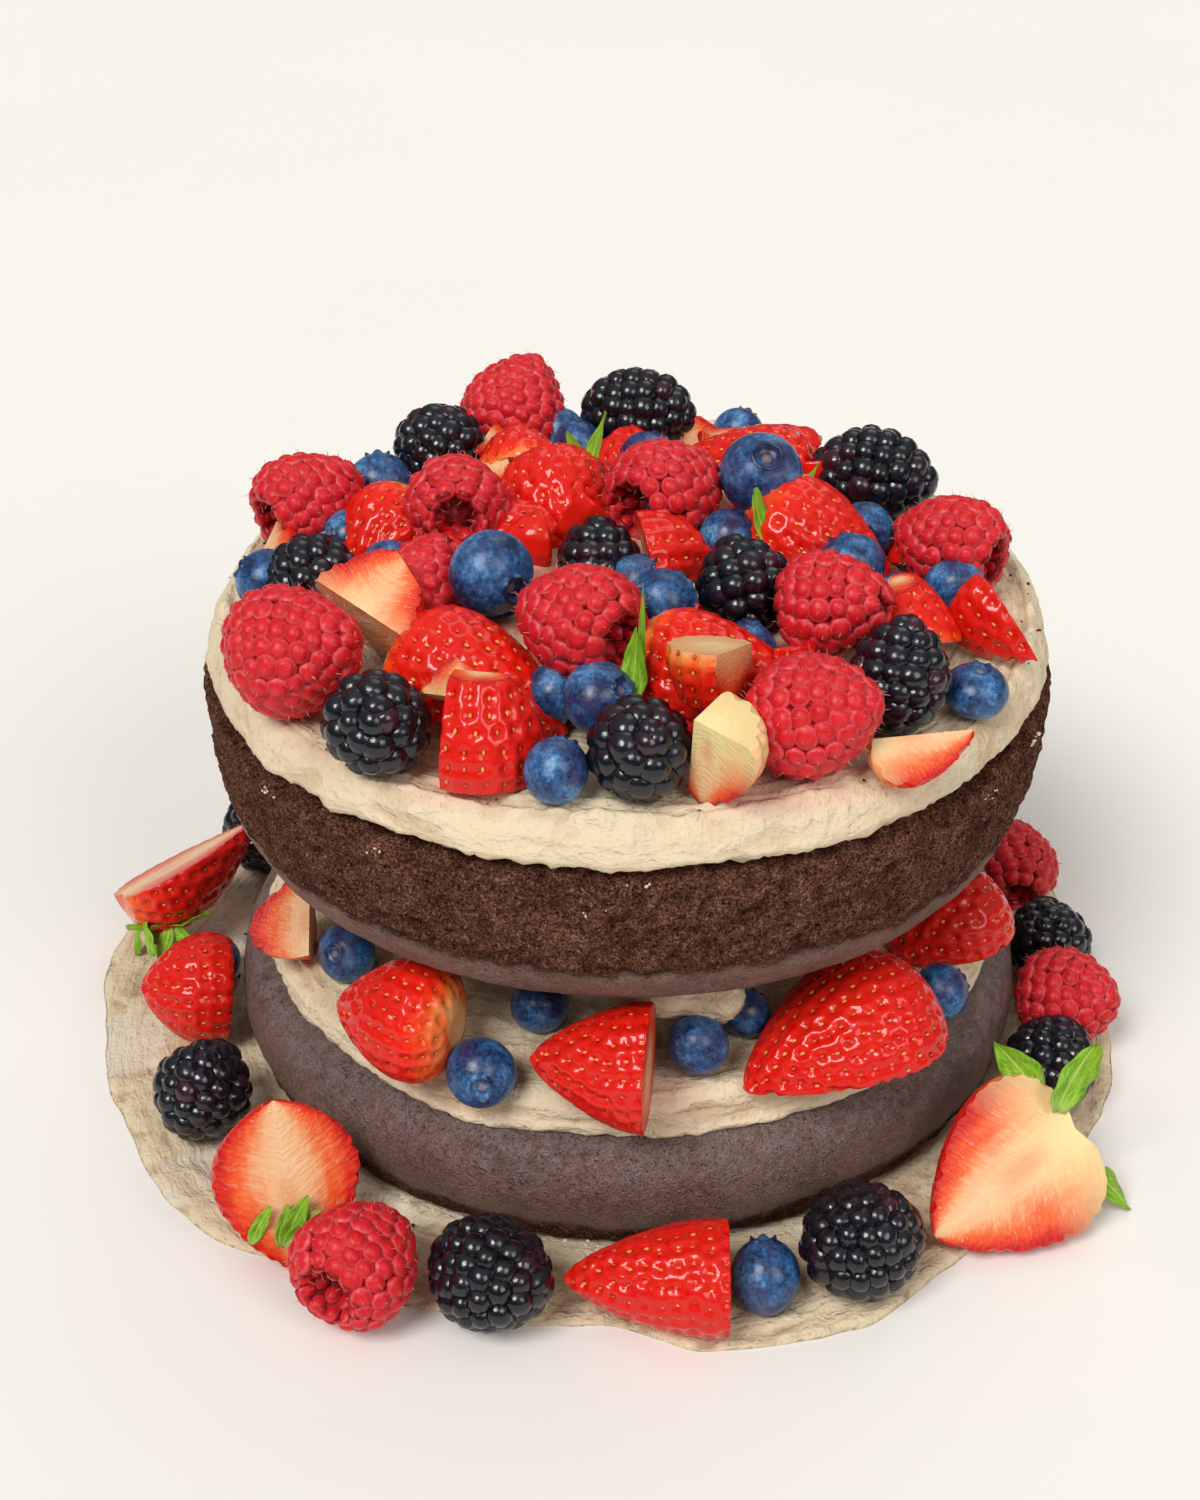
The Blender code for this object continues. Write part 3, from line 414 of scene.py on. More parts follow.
def ripple(seed, waves):
    """A smooth, repeatable wave round the circle, between about -1 and 1, as in the CAD source."""
    chance = random.Random(seed)
    parts = [(wave, chance.uniform(0.4, 1.0), chance.uniform(0.0, math.tau)) for wave in waves]
    total = sum(size for _, size, _ in parts)

    def height(angle):
        return sum(size * np.sin(wave * angle + start) for wave, size, start in parts) / total

    return height


# Pieces

class Shape:
    """The forms that make up one piece: points in mm, faces, and what each point is painted with."""

    def __init__(self):
        self.points = []
        self.faces = []
        self.slots = []
        self.smooth = []
        self.tone = []
        self.relief = []
        self.own = []
        self.count = 0

    def add(self, points, faces, slot=0, tone=0.5, relief=0.5, own=(0, 0, 0), smooth=True):
        """Adds a form. tone, relief and own are one value for all its points, or one for each."""
        points = np.asarray(points, float)
        size = len(points)
        start = self.count
        self.points.append(points)
        self.faces.extend([tuple(start + index for index in face) for face in faces])
        self.slots.extend(np.broadcast_to(slot, len(faces)).tolist())
        self.smooth.extend(np.broadcast_to(smooth, len(faces)).tolist())
        self.tone.append(np.broadcast_to(tone, size))
        self.relief.append(np.broadcast_to(relief, size))
        self.own.append(np.broadcast_to(own, (size, 3)))
        self.count += size

    def turned(self, turn):
        """Turns all the forms by a matrix, and gives the middle of their box afterwards."""
        matrix = np.array(turn.to_3x3()).T
        self.points = [points @ matrix for points in self.points]
        points = np.concatenate(self.points)
        return (points.min(axis=0) + points.max(axis=0)) / 2

    def moved(self, shift):
        """Moves all the forms by a shift in mm."""
        self.points = [points + np.array(shift) for points in self.points]

    def held_in(self, limits):
        """Moves the forms back into a box by the little that beads and hairs stand out of it."""
        low, high = limits
        points = np.concatenate(self.points)
        shift = np.maximum(low - points.min(axis=0), 0) - np.maximum(points.max(axis=0) - high, 0)
        self.points = [np.clip(points + shift, low, high) for points in self.points]

    def to_object(self, name, materials):
        """The piece as an object in metres, with its paint in the attributes tone, relief and own."""
        mesh = bpy.data.meshes.new(name)
        points = np.concatenate(self.points)
        mesh.from_pydata((points * MM).tolist(), [], self.faces)
        for material in materials:
            mesh.materials.append(material)
        mesh.polygons.foreach_set("material_index", self.slots)
        mesh.polygons.foreach_set("use_smooth", self.smooth)
        for label, values in (("tone", self.tone), ("relief", self.relief)):
            mark = mesh.attributes.new(label, "FLOAT", "POINT")
            mark.data.foreach_set("value", np.concatenate(values).astype(np.float32))
        mark = mesh.attributes.new("own", "FLOAT_VECTOR", "POINT")
        mark.data.foreach_set("vector", np.concatenate(self.own).astype(np.float32).ravel())
        mesh.update()
        return show(name, mesh)


def settle_in(item, slot, *nodes):
    """Lets a finished piece ride with the cake and stand for its CAD nodes."""
    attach(item, "root")
    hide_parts(*nodes)


# Turned bodies

def grid_points(reach, height, angles):
    """The points of a turned grid, as an array of rows by angles."""
    x = reach * np.cos(angles)
    y = reach * np.sin(angles)
    return np.stack([x, y, np.broadcast_to(height, reach.shape)], axis=-1)


def capped_points(reach, height, angles, bottom, top):
    """The points that go with capped_faces, one after another."""
    ends = np.array([[0, 0, bottom], [0, 0, top]], float)
    return np.concatenate([grid_points(reach, height, angles).reshape(-1, 3), ends])


def capped_faces(rows, steps):
    """The faces of a body round an axis: a grid of rows, and then one point for each end."""
    faces = []
    for row in range(rows - 1):
        low = row * steps
        for step in range(steps):
            after = (step + 1) % steps
            faces.append((low + step, low + after, low + steps + after, low + steps + step))
    bottom = rows * steps
    top = bottom + 1
    last = (rows - 1) * steps
    for step in range(steps):
        after = (step + 1) % steps
        faces.append((bottom, after, step))
        faces.append((last + step, last + after, top))
    return faces


def with_ends(values):
    """The values of a grid in one row, with 0 for the point at each end."""
    return np.append(np.ravel(values), [0.0, 0.0])


def turned_grid(profile_at, spacing, steps):
    """Rows of a turned body as arrays of reach and height, from a profile that changes with the angle."""
    angles = np.arange(steps) * math.tau / steps
    corners = np.array([profile_at(angle) for angle in angles])
    rows = [corners[:, 0]]
    for part, (start, end) in enumerate(zip(corners[0], corners[0, 1:])):
        count = max(1, round(math.hypot(end[0] - start[0], end[1] - start[1]) / spacing))
        for step in range(1, count + 1):
            share = step / count
            rows.append(corners[:, part] * (1 - share) + corners[:, part + 1] * share)
    grid = np.array(rows)
    return grid[:, :, 0], grid[:, :, 1], angles


def softened(values, rounds):
    """The rows of a grid, evened out between neighbouring rows, with both ends kept."""
    for _ in range(rounds):
        inner = (values[:-2] + 2 * values[1:-1] + values[2:]) / 4
        values = np.concatenate([values[:1], inner, values[-1:]])
    return values


def thinned(reach, height, fine, every, rounds):
    """The fine rows of a grid and one in every few of the rest, softened, with both ends kept."""
    number = np.arange(len(reach))
    keep = fine | (number % every == 0) | (number == len(reach) - 1)
    return softened(reach[keep], rounds), softened(height[keep], rounds)


def outward(reach, height):
    """The direction that points out of a turned grid at each row and angle, as (sideways, up)."""
    along_reach = np.gradient(reach, axis=0)
    along_height = np.gradient(height, axis=0)
    size = np.hypot(along_reach, along_height) + 1e-9
    return along_height / size, -along_reach / size


def pushed(reach, height, push):
    """A turned grid with each point pushed out by push mm."""
    side, up = outward(reach, height)
    return reach + side * push, height + up * push


def slots_by_tone(faces, tone):
    """Slot 0 for faces of open crumb, and slot 1 for faces of crust."""
    return [0 if sum(tone[index] for index in face) > 0.5 * len(face) else 1 for face in faces]


def turned_body(grid, ends, tone, lift, own=(0, 0, 0), split=False):
    """A closed body from a grid of reach, height and angles. Lift tells its ridges from its hollows, for
    painted shade in the hollows.
    """
    reach, height, angles = grid
    tone = with_ends(tone)
    faces = capped_faces(*reach.shape)
    slot = slots_by_tone(faces, tone) if split else 0
    relief = np.clip(0.5 + with_ends(lift), 0, 1)
    points = capped_points(reach, height, angles, *ends)
    body = Shape()
    body.add(points, faces, slot=slot, tone=tone, relief=relief, own=own)
    return body


# The sponges

def crumb_relief(points, seed):
    """Open crumb: lumps, grain, pores and a few larger holes, in mm."""
    lumps = 0.3 * rough(points, 5.0, seed)
    grain = 0.42 * rough(points, 1.9, seed + 10, layers=2, fade=0.7)
    pores = np.clip(0.42 - spots(points, 2.2, seed + 20), 0, 1) * 2.4
    holes = np.clip(0.32 - spots(points, 6.0, seed + 30), 0, 1) * 5.0
    return lumps + grain - pores - holes


def crust_relief(points, seed):
    """Smooth crust: slow swells and a few small pits, in mm."""
    swells = 0.22 * rough(points, 10.0, seed)
    leather = 0.07 * rough(points, 2.6, seed + 3, layers=2)
    pits = np.clip(0.2 - spots(points, 5.0, seed + 5), 0, 1) * 1.6
    return swells + leather - pits


def upper_dome(radius):
    """Height of the upper sponge's domed underside at a distance from the axis."""
    share = min(radius / 68.0, 1.0)
    return UPPER_DOME_LOW + 4.0 * share**2.6


def lower_dome(radius):
    """Height of the lower sponge's domed top at a distance from the axis."""
    share = min(radius / 70.0, 1.0)
    return LOWER_DOME_TOP - (LOWER_DOME_TOP - LOWER_SHOULDER) * share**2.4


def settle_sponge(node, grid, ends, crumb, push, dark, painted_sheen, materials):
    """A sponge with its crumb and its crust in slots of their own, how dark they are, and their painted
    sheen.
    """
    own = np.stack([with_ends(dark), with_ends(painted_sheen), with_ends(0 * dark)], axis=1)
    body = turned_body(grid, ends, crumb, 0.55 * push, own, split=True)
    settle_in(body.to_object(node + "_crumb", [materials["crumb"], materials["crust"]]), "sponge", node)


def make_upper_sponge(materials):
    """The upper sponge, with its domed crust below and its side torn open to the crumb above."""
    side = ripple(31, (2, 3, 5))
    top = UPPER_RIM - 0.2

    def outline(angle):
        shift = 0.5 * side(angle)
        return (
            (MIDDLE, UPPER_DOME_LOW),
            (34.0, upper_dome(34.0)),
            (56.0, upper_dome(56.0)),
            (68.0, upper_dome(68.0)),
            (72.2 + shift, 57.6),
            (74.6 + shift, 63),
            (TIN_RADIUS + shift, 71),
            (TIN_RADIUS + 0.5 + shift, 79),
            (TIN_RADIUS + shift, top),
            (70.0, top),
            (40.0, top),
            (MIDDLE, top),
        )

    reach, height, angles = turned_grid(outline, spacing=0.7, steps=520)
    fine = (reach[:, 0] > 52) & (height[:, 0] < UPPER_RIM - 0.4)
    reach, height = thinned(reach, height, fine, every=10, rounds=5)
    points = grid_points(reach, height, angles)
    level = points[..., 2]
    edge = UPPER_CRUMB_FROM + 1.2 * noise(points, 14, 60) + 0.9 * noise(points, 3.5, 63)
    crumb = np.clip((level - edge + 1.2) / 4.4, 0, 1)
    push = crumb * crumb_relief(points, 61) + (1 - crumb) * crust_relief(points, 71)
    band = np.exp(-(((level - edge - 1.5) / 1.6) ** 2))
    torn = np.clip(rough(points * np.array([1, 1, 2.2]), 4.0, 66), 0, 1)
    push = (push - band * torn * 1.3) * np.clip((reach - 40) / 12, 0, 1)
    reach, height = pushed(reach, height, push)
    # Painted shade along the torn edge between crust and crumb, darkest where it is torn into a groove.
    dark = band * (0.4 + 0.6 * torn)
    grid = (reach, height, angles)
    settle_sponge("sponge_upper", grid, (UPPER_DOME_LOW, top), crumb, push, dark, 0 * dark, materials)


def make_lower_sponge(materials):
    """The lower sponge, with open crumb at its foot and its domed crust above."""
    side = ripple(11, (2, 3, 5))
    foot = FOOT_CREAM_TOP + TOUCH

    def outline(angle):
        shift = 0.5 * side(angle)
        return (
            (MIDDLE, foot),
            (40.0, foot),
            (72.0, foot),
            (74.4 + shift, foot + 3),
            (TIN_RADIUS + shift, 13),
            (TIN_RADIUS - 0.9 + shift, 18.6),
            (73.4 + shift, 21.8),
            (70.0, lower_dome(70.0)),
            (55.0, lower_dome(55.0)),
            (30.0, lower_dome(30.0)),
            (MIDDLE, LOWER_DOME_TOP),
        )

    reach, height, angles = turned_grid(outline, spacing=0.75, steps=500)
    reach, height = thinned(reach, height, reach[:, 0] > 62, every=10, rounds=4)
    points = grid_points(reach, height, angles)
    level = points[..., 2]
    edge = LOWER_CRUMB_TO + 2.0 * noise(points, 16, 80) + 0.8 * noise(points, 4, 83)
    crumb = np.clip((edge - level + 1.5) / 5.0, 0, 1)
    push = crumb * (0.7 * crumb_relief(points, 81) - 0.3) + (1 - crumb) * crust_relief(points, 91)
    push = push * np.clip((reach - 50) / 12, 0, 1)
    reach, height = pushed(reach, height, push)
    height = np.maximum(height, foot)
    # Painted sheen: a pale grey gloss painted on the crust of the shoulder, from 14 mm up.
    painted_sheen = (1 - crumb) * np.clip((level - 14) / 8, 0, 1)
    grid = (reach, height, angles)
    settle_sponge("sponge_lower", grid, (foot, LOWER_DOME_TOP), crumb, push, 0.5 * crumb, painted_sheen, materials)


# The cream

def knife_marks(reach, height, angles, seed, pitch=2.4):
    """Strokes of a palette knife round the cake: long terraces with a sharp edge, and drag lines."""
    around = 3.5
    sharpness = 2.4
    points = grid_points(np.full(reach.shape, around), (reach + height) / pitch, angles)
    wide = rough(points, 1.0, seed, layers=3, fade=0.6)
    steps = sharpness * wide
    level = np.floor(steps)
    terraces = (level + np.clip((steps - level - 0.7) / 0.3, 0, 1)) / sharpness
    lines = rough(points * np.array([1.6, 1.6, 2.6]), 1.0, seed + 7, layers=2)
    return 0.75 * terraces + 0.25 * wide + 0.3 * lines


def stain(points, x, y, reach, ring=0.0):
    """How strongly juice tints the cream round a place, or in a ring round it, fading over reach mm."""
    away = np.hypot(points[..., 0] - x, points[..., 1] - y)
    return np.clip(1 - np.abs(away - ring) / reach, 0, 1)


def make_top_cream(material):
    """The thick spread of cream on top, with a raised rim and a torn hem over the sponge."""
    edge = ripple(41, (5, 9, 14))
    lip = ripple(42, (4, 7, 12))
    low = UPPER_RIM + TOUCH
    high = TOP_CREAM_TOP - 0.4

    def outline(angle):
        reach = TIN_RADIUS - 0.6 + 0.5 * edge(angle)
        plateau = TOP_CREAM_RADIUS - 1.0 + 0.6 * edge(angle + 1)
        return (
            (MIDDLE, low),
            (reach - 5, low),
            (reach - 0.2, low),
            (reach + 0.3, UPPER_RIM + 2.2),
            (0.5 * (reach + plateau) + 0.8, TOP_CREAM_TOP - 3),
            (plateau + 0.9, TOP_CREAM_TOP - 0.8 + 0.3 * lip(angle)),
            (plateau - 0.2, TOP_CREAM_TOP + 0.3 + 0.4 * lip(angle)),
            (plateau - 3.5, TOP_CREAM_TOP - 0.2),
            (plateau - 14, TOP_CREAM_TOP - 0.3),
            (40, high),
            (MIDDLE, high),
        )

    reach, height, angles = turned_grid(outline, spacing=0.5, steps=650)
    fine = (reach[:, 0] > 58) & (height[:, 0] > UPPER_RIM + 0.2)
    reach, height = thinned(reach, height, fine, every=12, rounds=2)
    points = grid_points(reach, height, angles)
    marks = knife_marks(reach, height, angles, 101)
    tears = rough(points, 1.7, 111, layers=2, fade=0.7)
    lumps = rough(points, 11.0, 121)
    flakes = np.clip(rough(points * np.array([1, 1, 1.5]), 3.4, 126), 0, 1)
    rim = np.clip(1 - np.abs(reach - 71.5) / 2.6, 0, 1) * (height > TOP_CREAM_TOP - 2)
    side_share = np.clip((reach - 71.8) / 2.0, 0, 1) * (height < TOP_CREAM_TOP + 0.2)
    push = (0.8 * marks + 0.35 * lumps) * (1 - 0.8 * side_share) + rim * (1.3 * flakes + 0.5 * marks - 0.2)
    push = push + side_share * (0.2 * tears + 0.35 * lumps + 0.25 * flakes - 0.15)
    push = push * np.clip((reach - 35) / 10, 0, 1)
    reach, height = pushed(reach, height, push)
    hem = np.clip(1 - (height - UPPER_RIM) / 2.5, 0, 1) * side_share
    sag = 0.7 * rough(points, 9.0, 116) + 0.4 * tears + 0.6 * flakes
    height = np.maximum(height - hem * (0.3 + sag), UPPER_RIM - 2.2)
    juice = np.clip(stain(points, 25, -66, 12, ring=2) + stain(points, -30, -62, 11), 0, 1)
    juice = 0.7 * juice * (points[..., 2] > TOP_CREAM_TOP - 1.5)
    body = turned_body((reach, height, angles), (low, high), juice, 0.6 * push)
    settle_in(body.to_object("cream_top_spread", [material]), "cream", "cream_top")


def make_filling_cream(material):
    """The cream between the layers: a spread on the lower dome, and a core that carries the upper sponge."""
    edge = ripple(21, (4, 7, 11))
    rise = ripple(22, (3, 5, 8))
    low = LOWER_DOME_TOP + TOUCH
    high = UPPER_DOME_LOW - TOUCH

    def outline(angle):
        reach = FILLING_RADIUS + 1.1 * edge(angle)
        top = FILLING_TOP + 0.5 * rise(angle)
        core = FILLING_CORE_RADIUS + 1.5 * edge(angle + 2)
        return (
            (MIDDLE, low),
            (30.0, lower_dome(30.0) + TOUCH),
            (55.0, lower_dome(55.0) + TOUCH),
            (reach + 1.2, lower_dome(reach + 1.2) + TOUCH),
            (reach + 1.8, lower_dome(reach + 1.2) + 1.0),
            (reach + 1.2, top - 3.5),
            (reach - 1.0, top - 0.6),
            (reach - 6, top),
            (core + 4, top + 1.0),
            (core, UPPER_DOME_LOW - 3),
            (core - 3, upper_dome(core - 3) - TOUCH),
            (MIDDLE, high),
        )

    reach, height, angles = turned_grid(outline, spacing=0.62, steps=480)
    below = np.arange(len(reach)) < len(reach) // 3
    fine = (reach[:, 0] > 44) & ~(below & (reach[:, 0] < 66))
    reach, height = thinned(reach, height, fine, every=10, rounds=2)
    points = grid_points(reach, height, angles)
    marks = knife_marks(reach, height * 1.8, angles, 131, pitch=2.8)
    tears = rough(points, 2.2, 141)
    lumps = rough(points, 10.0, 151)
    shoulder = lower_dome(69)
    above = np.clip((height - shoulder - 0.4) / 1.2, 0, 1)
    cracks = np.clip(0.14 - np.abs(rough(points * np.array([1, 1, 0.35]), 8.0, 146)), 0, 1)
    push = (0.8 * marks + 0.3 * tears + 0.35 * lumps - 4.0 * cracks) * above
    push = push * np.clip((reach - 38) / 6, 0, 1)
    reach, height = pushed(reach, height, push)
    hem = np.clip(1 - (height - shoulder) / 2.0, 0, 1) * (reach > 66)
    sag = 0.7 * rough(points, 6.0, 156) + 0.6 * rough(points, 2.0, 157)
    reach = reach + hem * np.clip(sag, -0.6, 1.4)
    juice = 0.7 * stain(points, 6, -64, 8)
    body = turned_body((reach, height, angles), (low, high), juice, 0.6 * push)
    settle_in(body.to_object("cream_filling_spread", [material]), "cream", "cream_filling")


def make_cream_dollop(material):
    """The ragged bit of cream that hangs between the filling and the upper sponge at the front."""
    points, faces, _ = ball_form(48, tuple(range(8, 176, 5)))
    shaped = points * np.array(DOLLOP_HALF)
    lumps = rough(shaped, 5.0, 201)[:, None] * 1.2 + rough(shaped, 1.8, 206)[:, None] * 0.4
    layers = np.round(shaped[:, 2:] / DOLLOP_LAYER) * DOLLOP_LAYER
    shaped[:, 2:] = 0.4 * shaped[:, 2:] + 0.6 * layers
    shaped = shaped + points * lumps + np.array(DOLLOP_AT)
    body = Shape()
    # Relief from the lumps gives painted shade in the dollop's hollows.
    body.add(shaped, faces, tone=0.0, relief=0.6 + 0.3 * lumps[:, 0])
    settle_in(body.to_object("cream_dollop", [material]), "cream", "cream_filling")


def smear_reach(angle):
    """Reach of the foot cream at an angle, eased between the measured places."""
    degrees = math.degrees(angle)
    first = SMEAR_REACH[0][0]
    degrees = (degrees - first) % 360 + first
    places = SMEAR_REACH + ((first + 360, SMEAR_REACH[0][1]),)
    for (start, near), (end, far) in zip(places, places[1:]):
        if start <= degrees <= end:
            share = (degrees - start) / (end - start)
            eased = share * share * (3 - 2 * share)
            return near + (far - near) * eased
    return near


def make_foot_cream(material):
    """The smear that the cake stands on, with a ragged, thin edge."""
    edge = ripple(3, (7, 11, 17))
    rise = ripple(4, (5, 9, 13))
    ragged = ripple(5, (23, 37, 59, 83))

    def outline(angle):
        reach = smear_reach(angle) + 0.7 * edge(angle) + 0.4 * ragged(angle) - 0.4
        middle = 0.5 * (TIN_RADIUS + reach)
        return (
            (MIDDLE, 0),
            (TIN_RADIUS, 0),
            (reach - 0.6, 0),
            (reach, 0.3),
            (reach - 1.5, 0.9 + 0.3 * rise(angle)),
            (middle, 1.5 + 0.3 * rise(angle + 1)),
            (TIN_RADIUS, FOOT_CREAM_TOP - 0.1),
            (70, FOOT_CREAM_TOP),
            (MIDDLE, FOOT_CREAM_TOP),
        )

    reach, height, angles = turned_grid(outline, spacing=0.75, steps=540)
    fine = (reach[:, 0] > 72) & (height[:, 0] > 0.1)
    reach, height = thinned(reach, height, fine, every=14, rounds=0)
    flat = grid_points(reach, height, angles) * np.array([1, 1, 0])
    marks = knife_marks(reach, height, angles, 161, pitch=3.0)
    brushed = rough(flat, 2.6, 171)
    folds = np.clip(0.13 - np.abs(rough(flat, 9.0, 176)), 0, 1)
    dips = np.clip(rough(flat, 11.0, 181) - 0.34, 0, 1)
    top = height > 0.5
    lift = np.where(top & (reach > 75), 0.35 * marks + 0.3 * brushed - 3.5 * folds - 1.3 * dips, 0)
    height = np.where(top, np.clip(height + lift, 0.2, FOOT_CREAM_TOP), height)
    thin = np.clip(dips * 3.0, 0, 1)
    body = turned_body((reach, height, angles), (0.0, FOOT_CREAM_TOP), thin, 0.9 * lift)
    settle_in(body.to_object("cream_foot_smear", [material]), "cream", "cream_foot")


# Fruit made of beads

def berry_outline(radius, length, fullness):
    """Reach and height of a raspberry or bramble at a share of its length."""

    def at(share):
        return radius * math.sin(math.pi * share**fullness) ** 0.55, length * (share - 0.5)

    return at


def ball_form(steps, tilts):
    """A closed unit ball with its pole up: points, faces, and how near each point is to the pole."""
    points = [(0, 0, 1)]
    nearness = [1.0]
    for ring, tilt in enumerate(tilts):
        away = math.sin(math.radians(tilt))
        up = math.cos(math.radians(tilt))
        for step in range(steps):
            turn = math.tau * (step + 0.5 * (ring % 2)) / steps
            points.append((away * math.cos(turn), away * math.sin(turn), up))
            nearness.append(max(0.0, 1 - tilt / 90))
    faces = []
    for step in range(steps):
        faces.append((0, 1 + step, 1 + (step + 1) % steps))
    for ring in range(len(tilts) - 1):
        inner = 1 + ring * steps
        outer = inner + steps
        for step in range(steps):
            after = (step + 1) % steps
            faces.append((inner + step, outer + step, outer + after, inner + after))
    last = 1 + (len(tilts) - 1) * steps
    faces.append(tuple(last + step for step in reversed(range(steps))))
    return np.array(points), faces, np.array(nearness)


# One bead and one seed, as unit forms
BEAD = ball_form(8, (30, 56, 82, 108))
SEED = ball_form(5, (50, 100))


def outline_path(outline, first, last):
    """Points along an outline between two shares of its length."""
    return [outline(share) for share in np.linspace(first, last, 60)]


def path_rows(path, step):
    """Places along a path of (reach, height), step mm apart: reach, height, and the direction out."""
    places = np.array(path, float)
    spans = np.linalg.norm(np.diff(places, axis=0), axis=1)
    travel = np.concatenate([[0], np.cumsum(spans)])
    count = max(2, round(travel[-1] / step))
    rows = []
    for row in range(count + 1):
        along = travel[-1] * row / count
        index = min(int(np.searchsorted(travel, along, side="right")) - 1, len(spans) - 1)
        share = (along - travel[index]) / spans[index]
        place = places[index] * (1 - share) + places[index + 1] * share
        early = places[max(index - 1, 0)]
        late = places[min(index + 2, len(places) - 1)]
        run = (late - early) / np.linalg.norm(late - early)
        rows.append((place[0], place[1], run[1], -run[0]))
    return rows


def way_out(turn, side, up):
    """The direction out of a turned surface at an angle, from its slope (sideways, up)."""
    return Vector((side * math.cos(turn), side * math.sin(turn), up)).normalized()


def add_beads(body, rows, chance, spacing, step, depth, uneven=0.0):
    """Covers a path with rows of beads, each row set between the beads of the last."""
    points, faces, nearness = BEAD
    seed = chance.randrange(10000)
    roots = []
    for number, (reach, height, side, up) in enumerate(rows):
        count = max(1, round(math.tau * reach / spacing))
        if reach < 0.4 * spacing:
            count = 1
        wide = math.tau * reach / count if count > 1 else spacing
        for bead in range(count):
            turn = math.tau * (bead + 0.5 * (number % 2) + chance.uniform(-0.14, 0.14)) / count
            size = chance.uniform(0.92, 1.12)
            sink = depth * chance.uniform(0.86, 1.04)
            out = way_out(turn, side, up)
            round_way = Vector((-math.sin(turn), math.cos(turn), 0))
            along = out.cross(round_way)
            level = height + chance.uniform(-0.2, 0.2)
            place = Vector((reach * math.cos(turn), reach * math.sin(turn), level))
            swell = uneven * float(noise([tuple(place)], 8.0, seed)[0])
            place = place - out * (sink - swell)
            frame = np.array([round_way * (0.6 * wide * size), along * (0.64 * step * size), out * sink])
            body.add(points @ frame + np.array(place), faces, tone=chance.random(), relief=nearness)
            roots.append((place + out * 0.9 * sink, out))
    return roots


def add_hairs(body, roots, chance, length, share):
    """Short, fine, pale hairs that stand out of some of the beads."""
    thick = 0.055
    faces = [(0, 2, 1), (0, 1, 4, 3), (1, 2, 5, 4), (2, 0, 3, 5), (3, 4, 6), (4, 5, 6), (5, 3, 6)]
    for root, out in roots:
        if chance.random() > share:
            continue
        sideways = Vector((chance.uniform(-1, 1), chance.uniform(-1, 1), chance.uniform(-1, 1)))
        lean = (out + 0.7 * sideways).normalized()
        side = lean.orthogonal().normalized()
        other = lean.cross(side)
        reach = length * chance.uniform(0.6, 1.2)
        foot = root - out * 0.1
        bend = foot + lean * 0.6 * reach
        tip = bend + (lean + 0.4 * side).normalized() * 0.4 * reach
        points = []
        for place, width in ((foot, 1.0), (bend, 0.7)):
            points.append(place + side * width * thick)
            points.append(place + other * width * thick)
            points.append(place - (side + other) * width * thick)
        points.append(tip)
        body.add([tuple(point) for point in points], faces, slot=HAIR_SLOT)


def add_berry_core(body, path, inset):
    """What lies between and behind the beads, along the same path."""
    steps = 24
    angles = np.arange(steps) * math.tau / steps
    rows = path_rows(path, 2.2)
    profile = [(max(reach - side * inset, 0.15), height - up * inset) for reach, height, side, up in rows]
    grid = np.array(profile)
    reach = np.repeat(grid[:, :1], steps, axis=1)
    height = np.repeat(grid[:, 1:], steps, axis=1)
    points = capped_points(reach, height, angles, profile[0][1], profile[-1][1])
    # Relief 0 paints the core with the beads' painted crease shade.
    body.add(points, capped_faces(len(profile), steps), tone=0.3, relief=0.0)


def raspberry_shape(radius, length, chance):
    """A raspberry: beads in rows from inside its hollow, over the rim and up to the tip, with fine hairs."""
    body = Shape()
    outline = berry_outline(radius, length, 0.72)
    inside = [(0.26 * radius, -0.14 * length), (0.34 * radius, -0.3 * length), (0.4 * radius, -0.4 * length)]
    rim = [(0.47 * radius, -0.452 * length), (0.56 * radius, -0.462 * length)]
    outside = outline_path(outline, 0.085, 0.985)
    add_berry_core(body, inside + rim + outside, inset=1.4)
    points, faces, _ = ball_form(12, (30, 60, 90))
    floor = points * 0.36 * radius + np.array([0, 0, -0.16 * length])
    body.add(floor, faces, slot=CAP_SLOT, tone=0.2, relief=0.3)
    inner_rows = path_rows(inside + rim, 2.8)[:-1]
    roots = add_beads(body, inner_rows, chance, spacing=2.5, step=3.0, depth=1.5)
    add_hairs(body, roots, chance, length=2.0, share=1.0)
    roots = add_beads(body, path_rows(outside, 3.1), chance, spacing=3.7, step=3.1, depth=1.9, uneven=0.6)
    add_hairs(body, roots, chance, length=1.6, share=0.9)
    add_hairs(body, roots, chance, length=1.3, share=0.4)
    return body


def bramble_shape(radius, length, chance):
    """A bramble: plump, slightly long beads on a closed core."""
    body = Shape()
    step = 4.05
    path = outline_path(berry_outline(radius, length, 0.95), 0.05, 0.975)
    add_berry_core(body, path, inset=1.7)
    add_beads(body, path_rows(path, step), chance, spacing=4.6, step=step, depth=2.7, uneven=0.5)
    return body


# Blueberries

# The crown from the lip inwards: share of the lip's reach, rise as a share of the length, and paint. Up to
# 1 the paint is the crown's, and above it the scar's in its middle.
CROWN = (
    (0.95, 0.015, 0.4), (0.88, 0.04, 1.0), (0.8, 0.03, 0.9), (0.7, -0.01, 0.5), (0.5, -0.04, 0.2),
    (0.25, -0.045, 1.6),
)


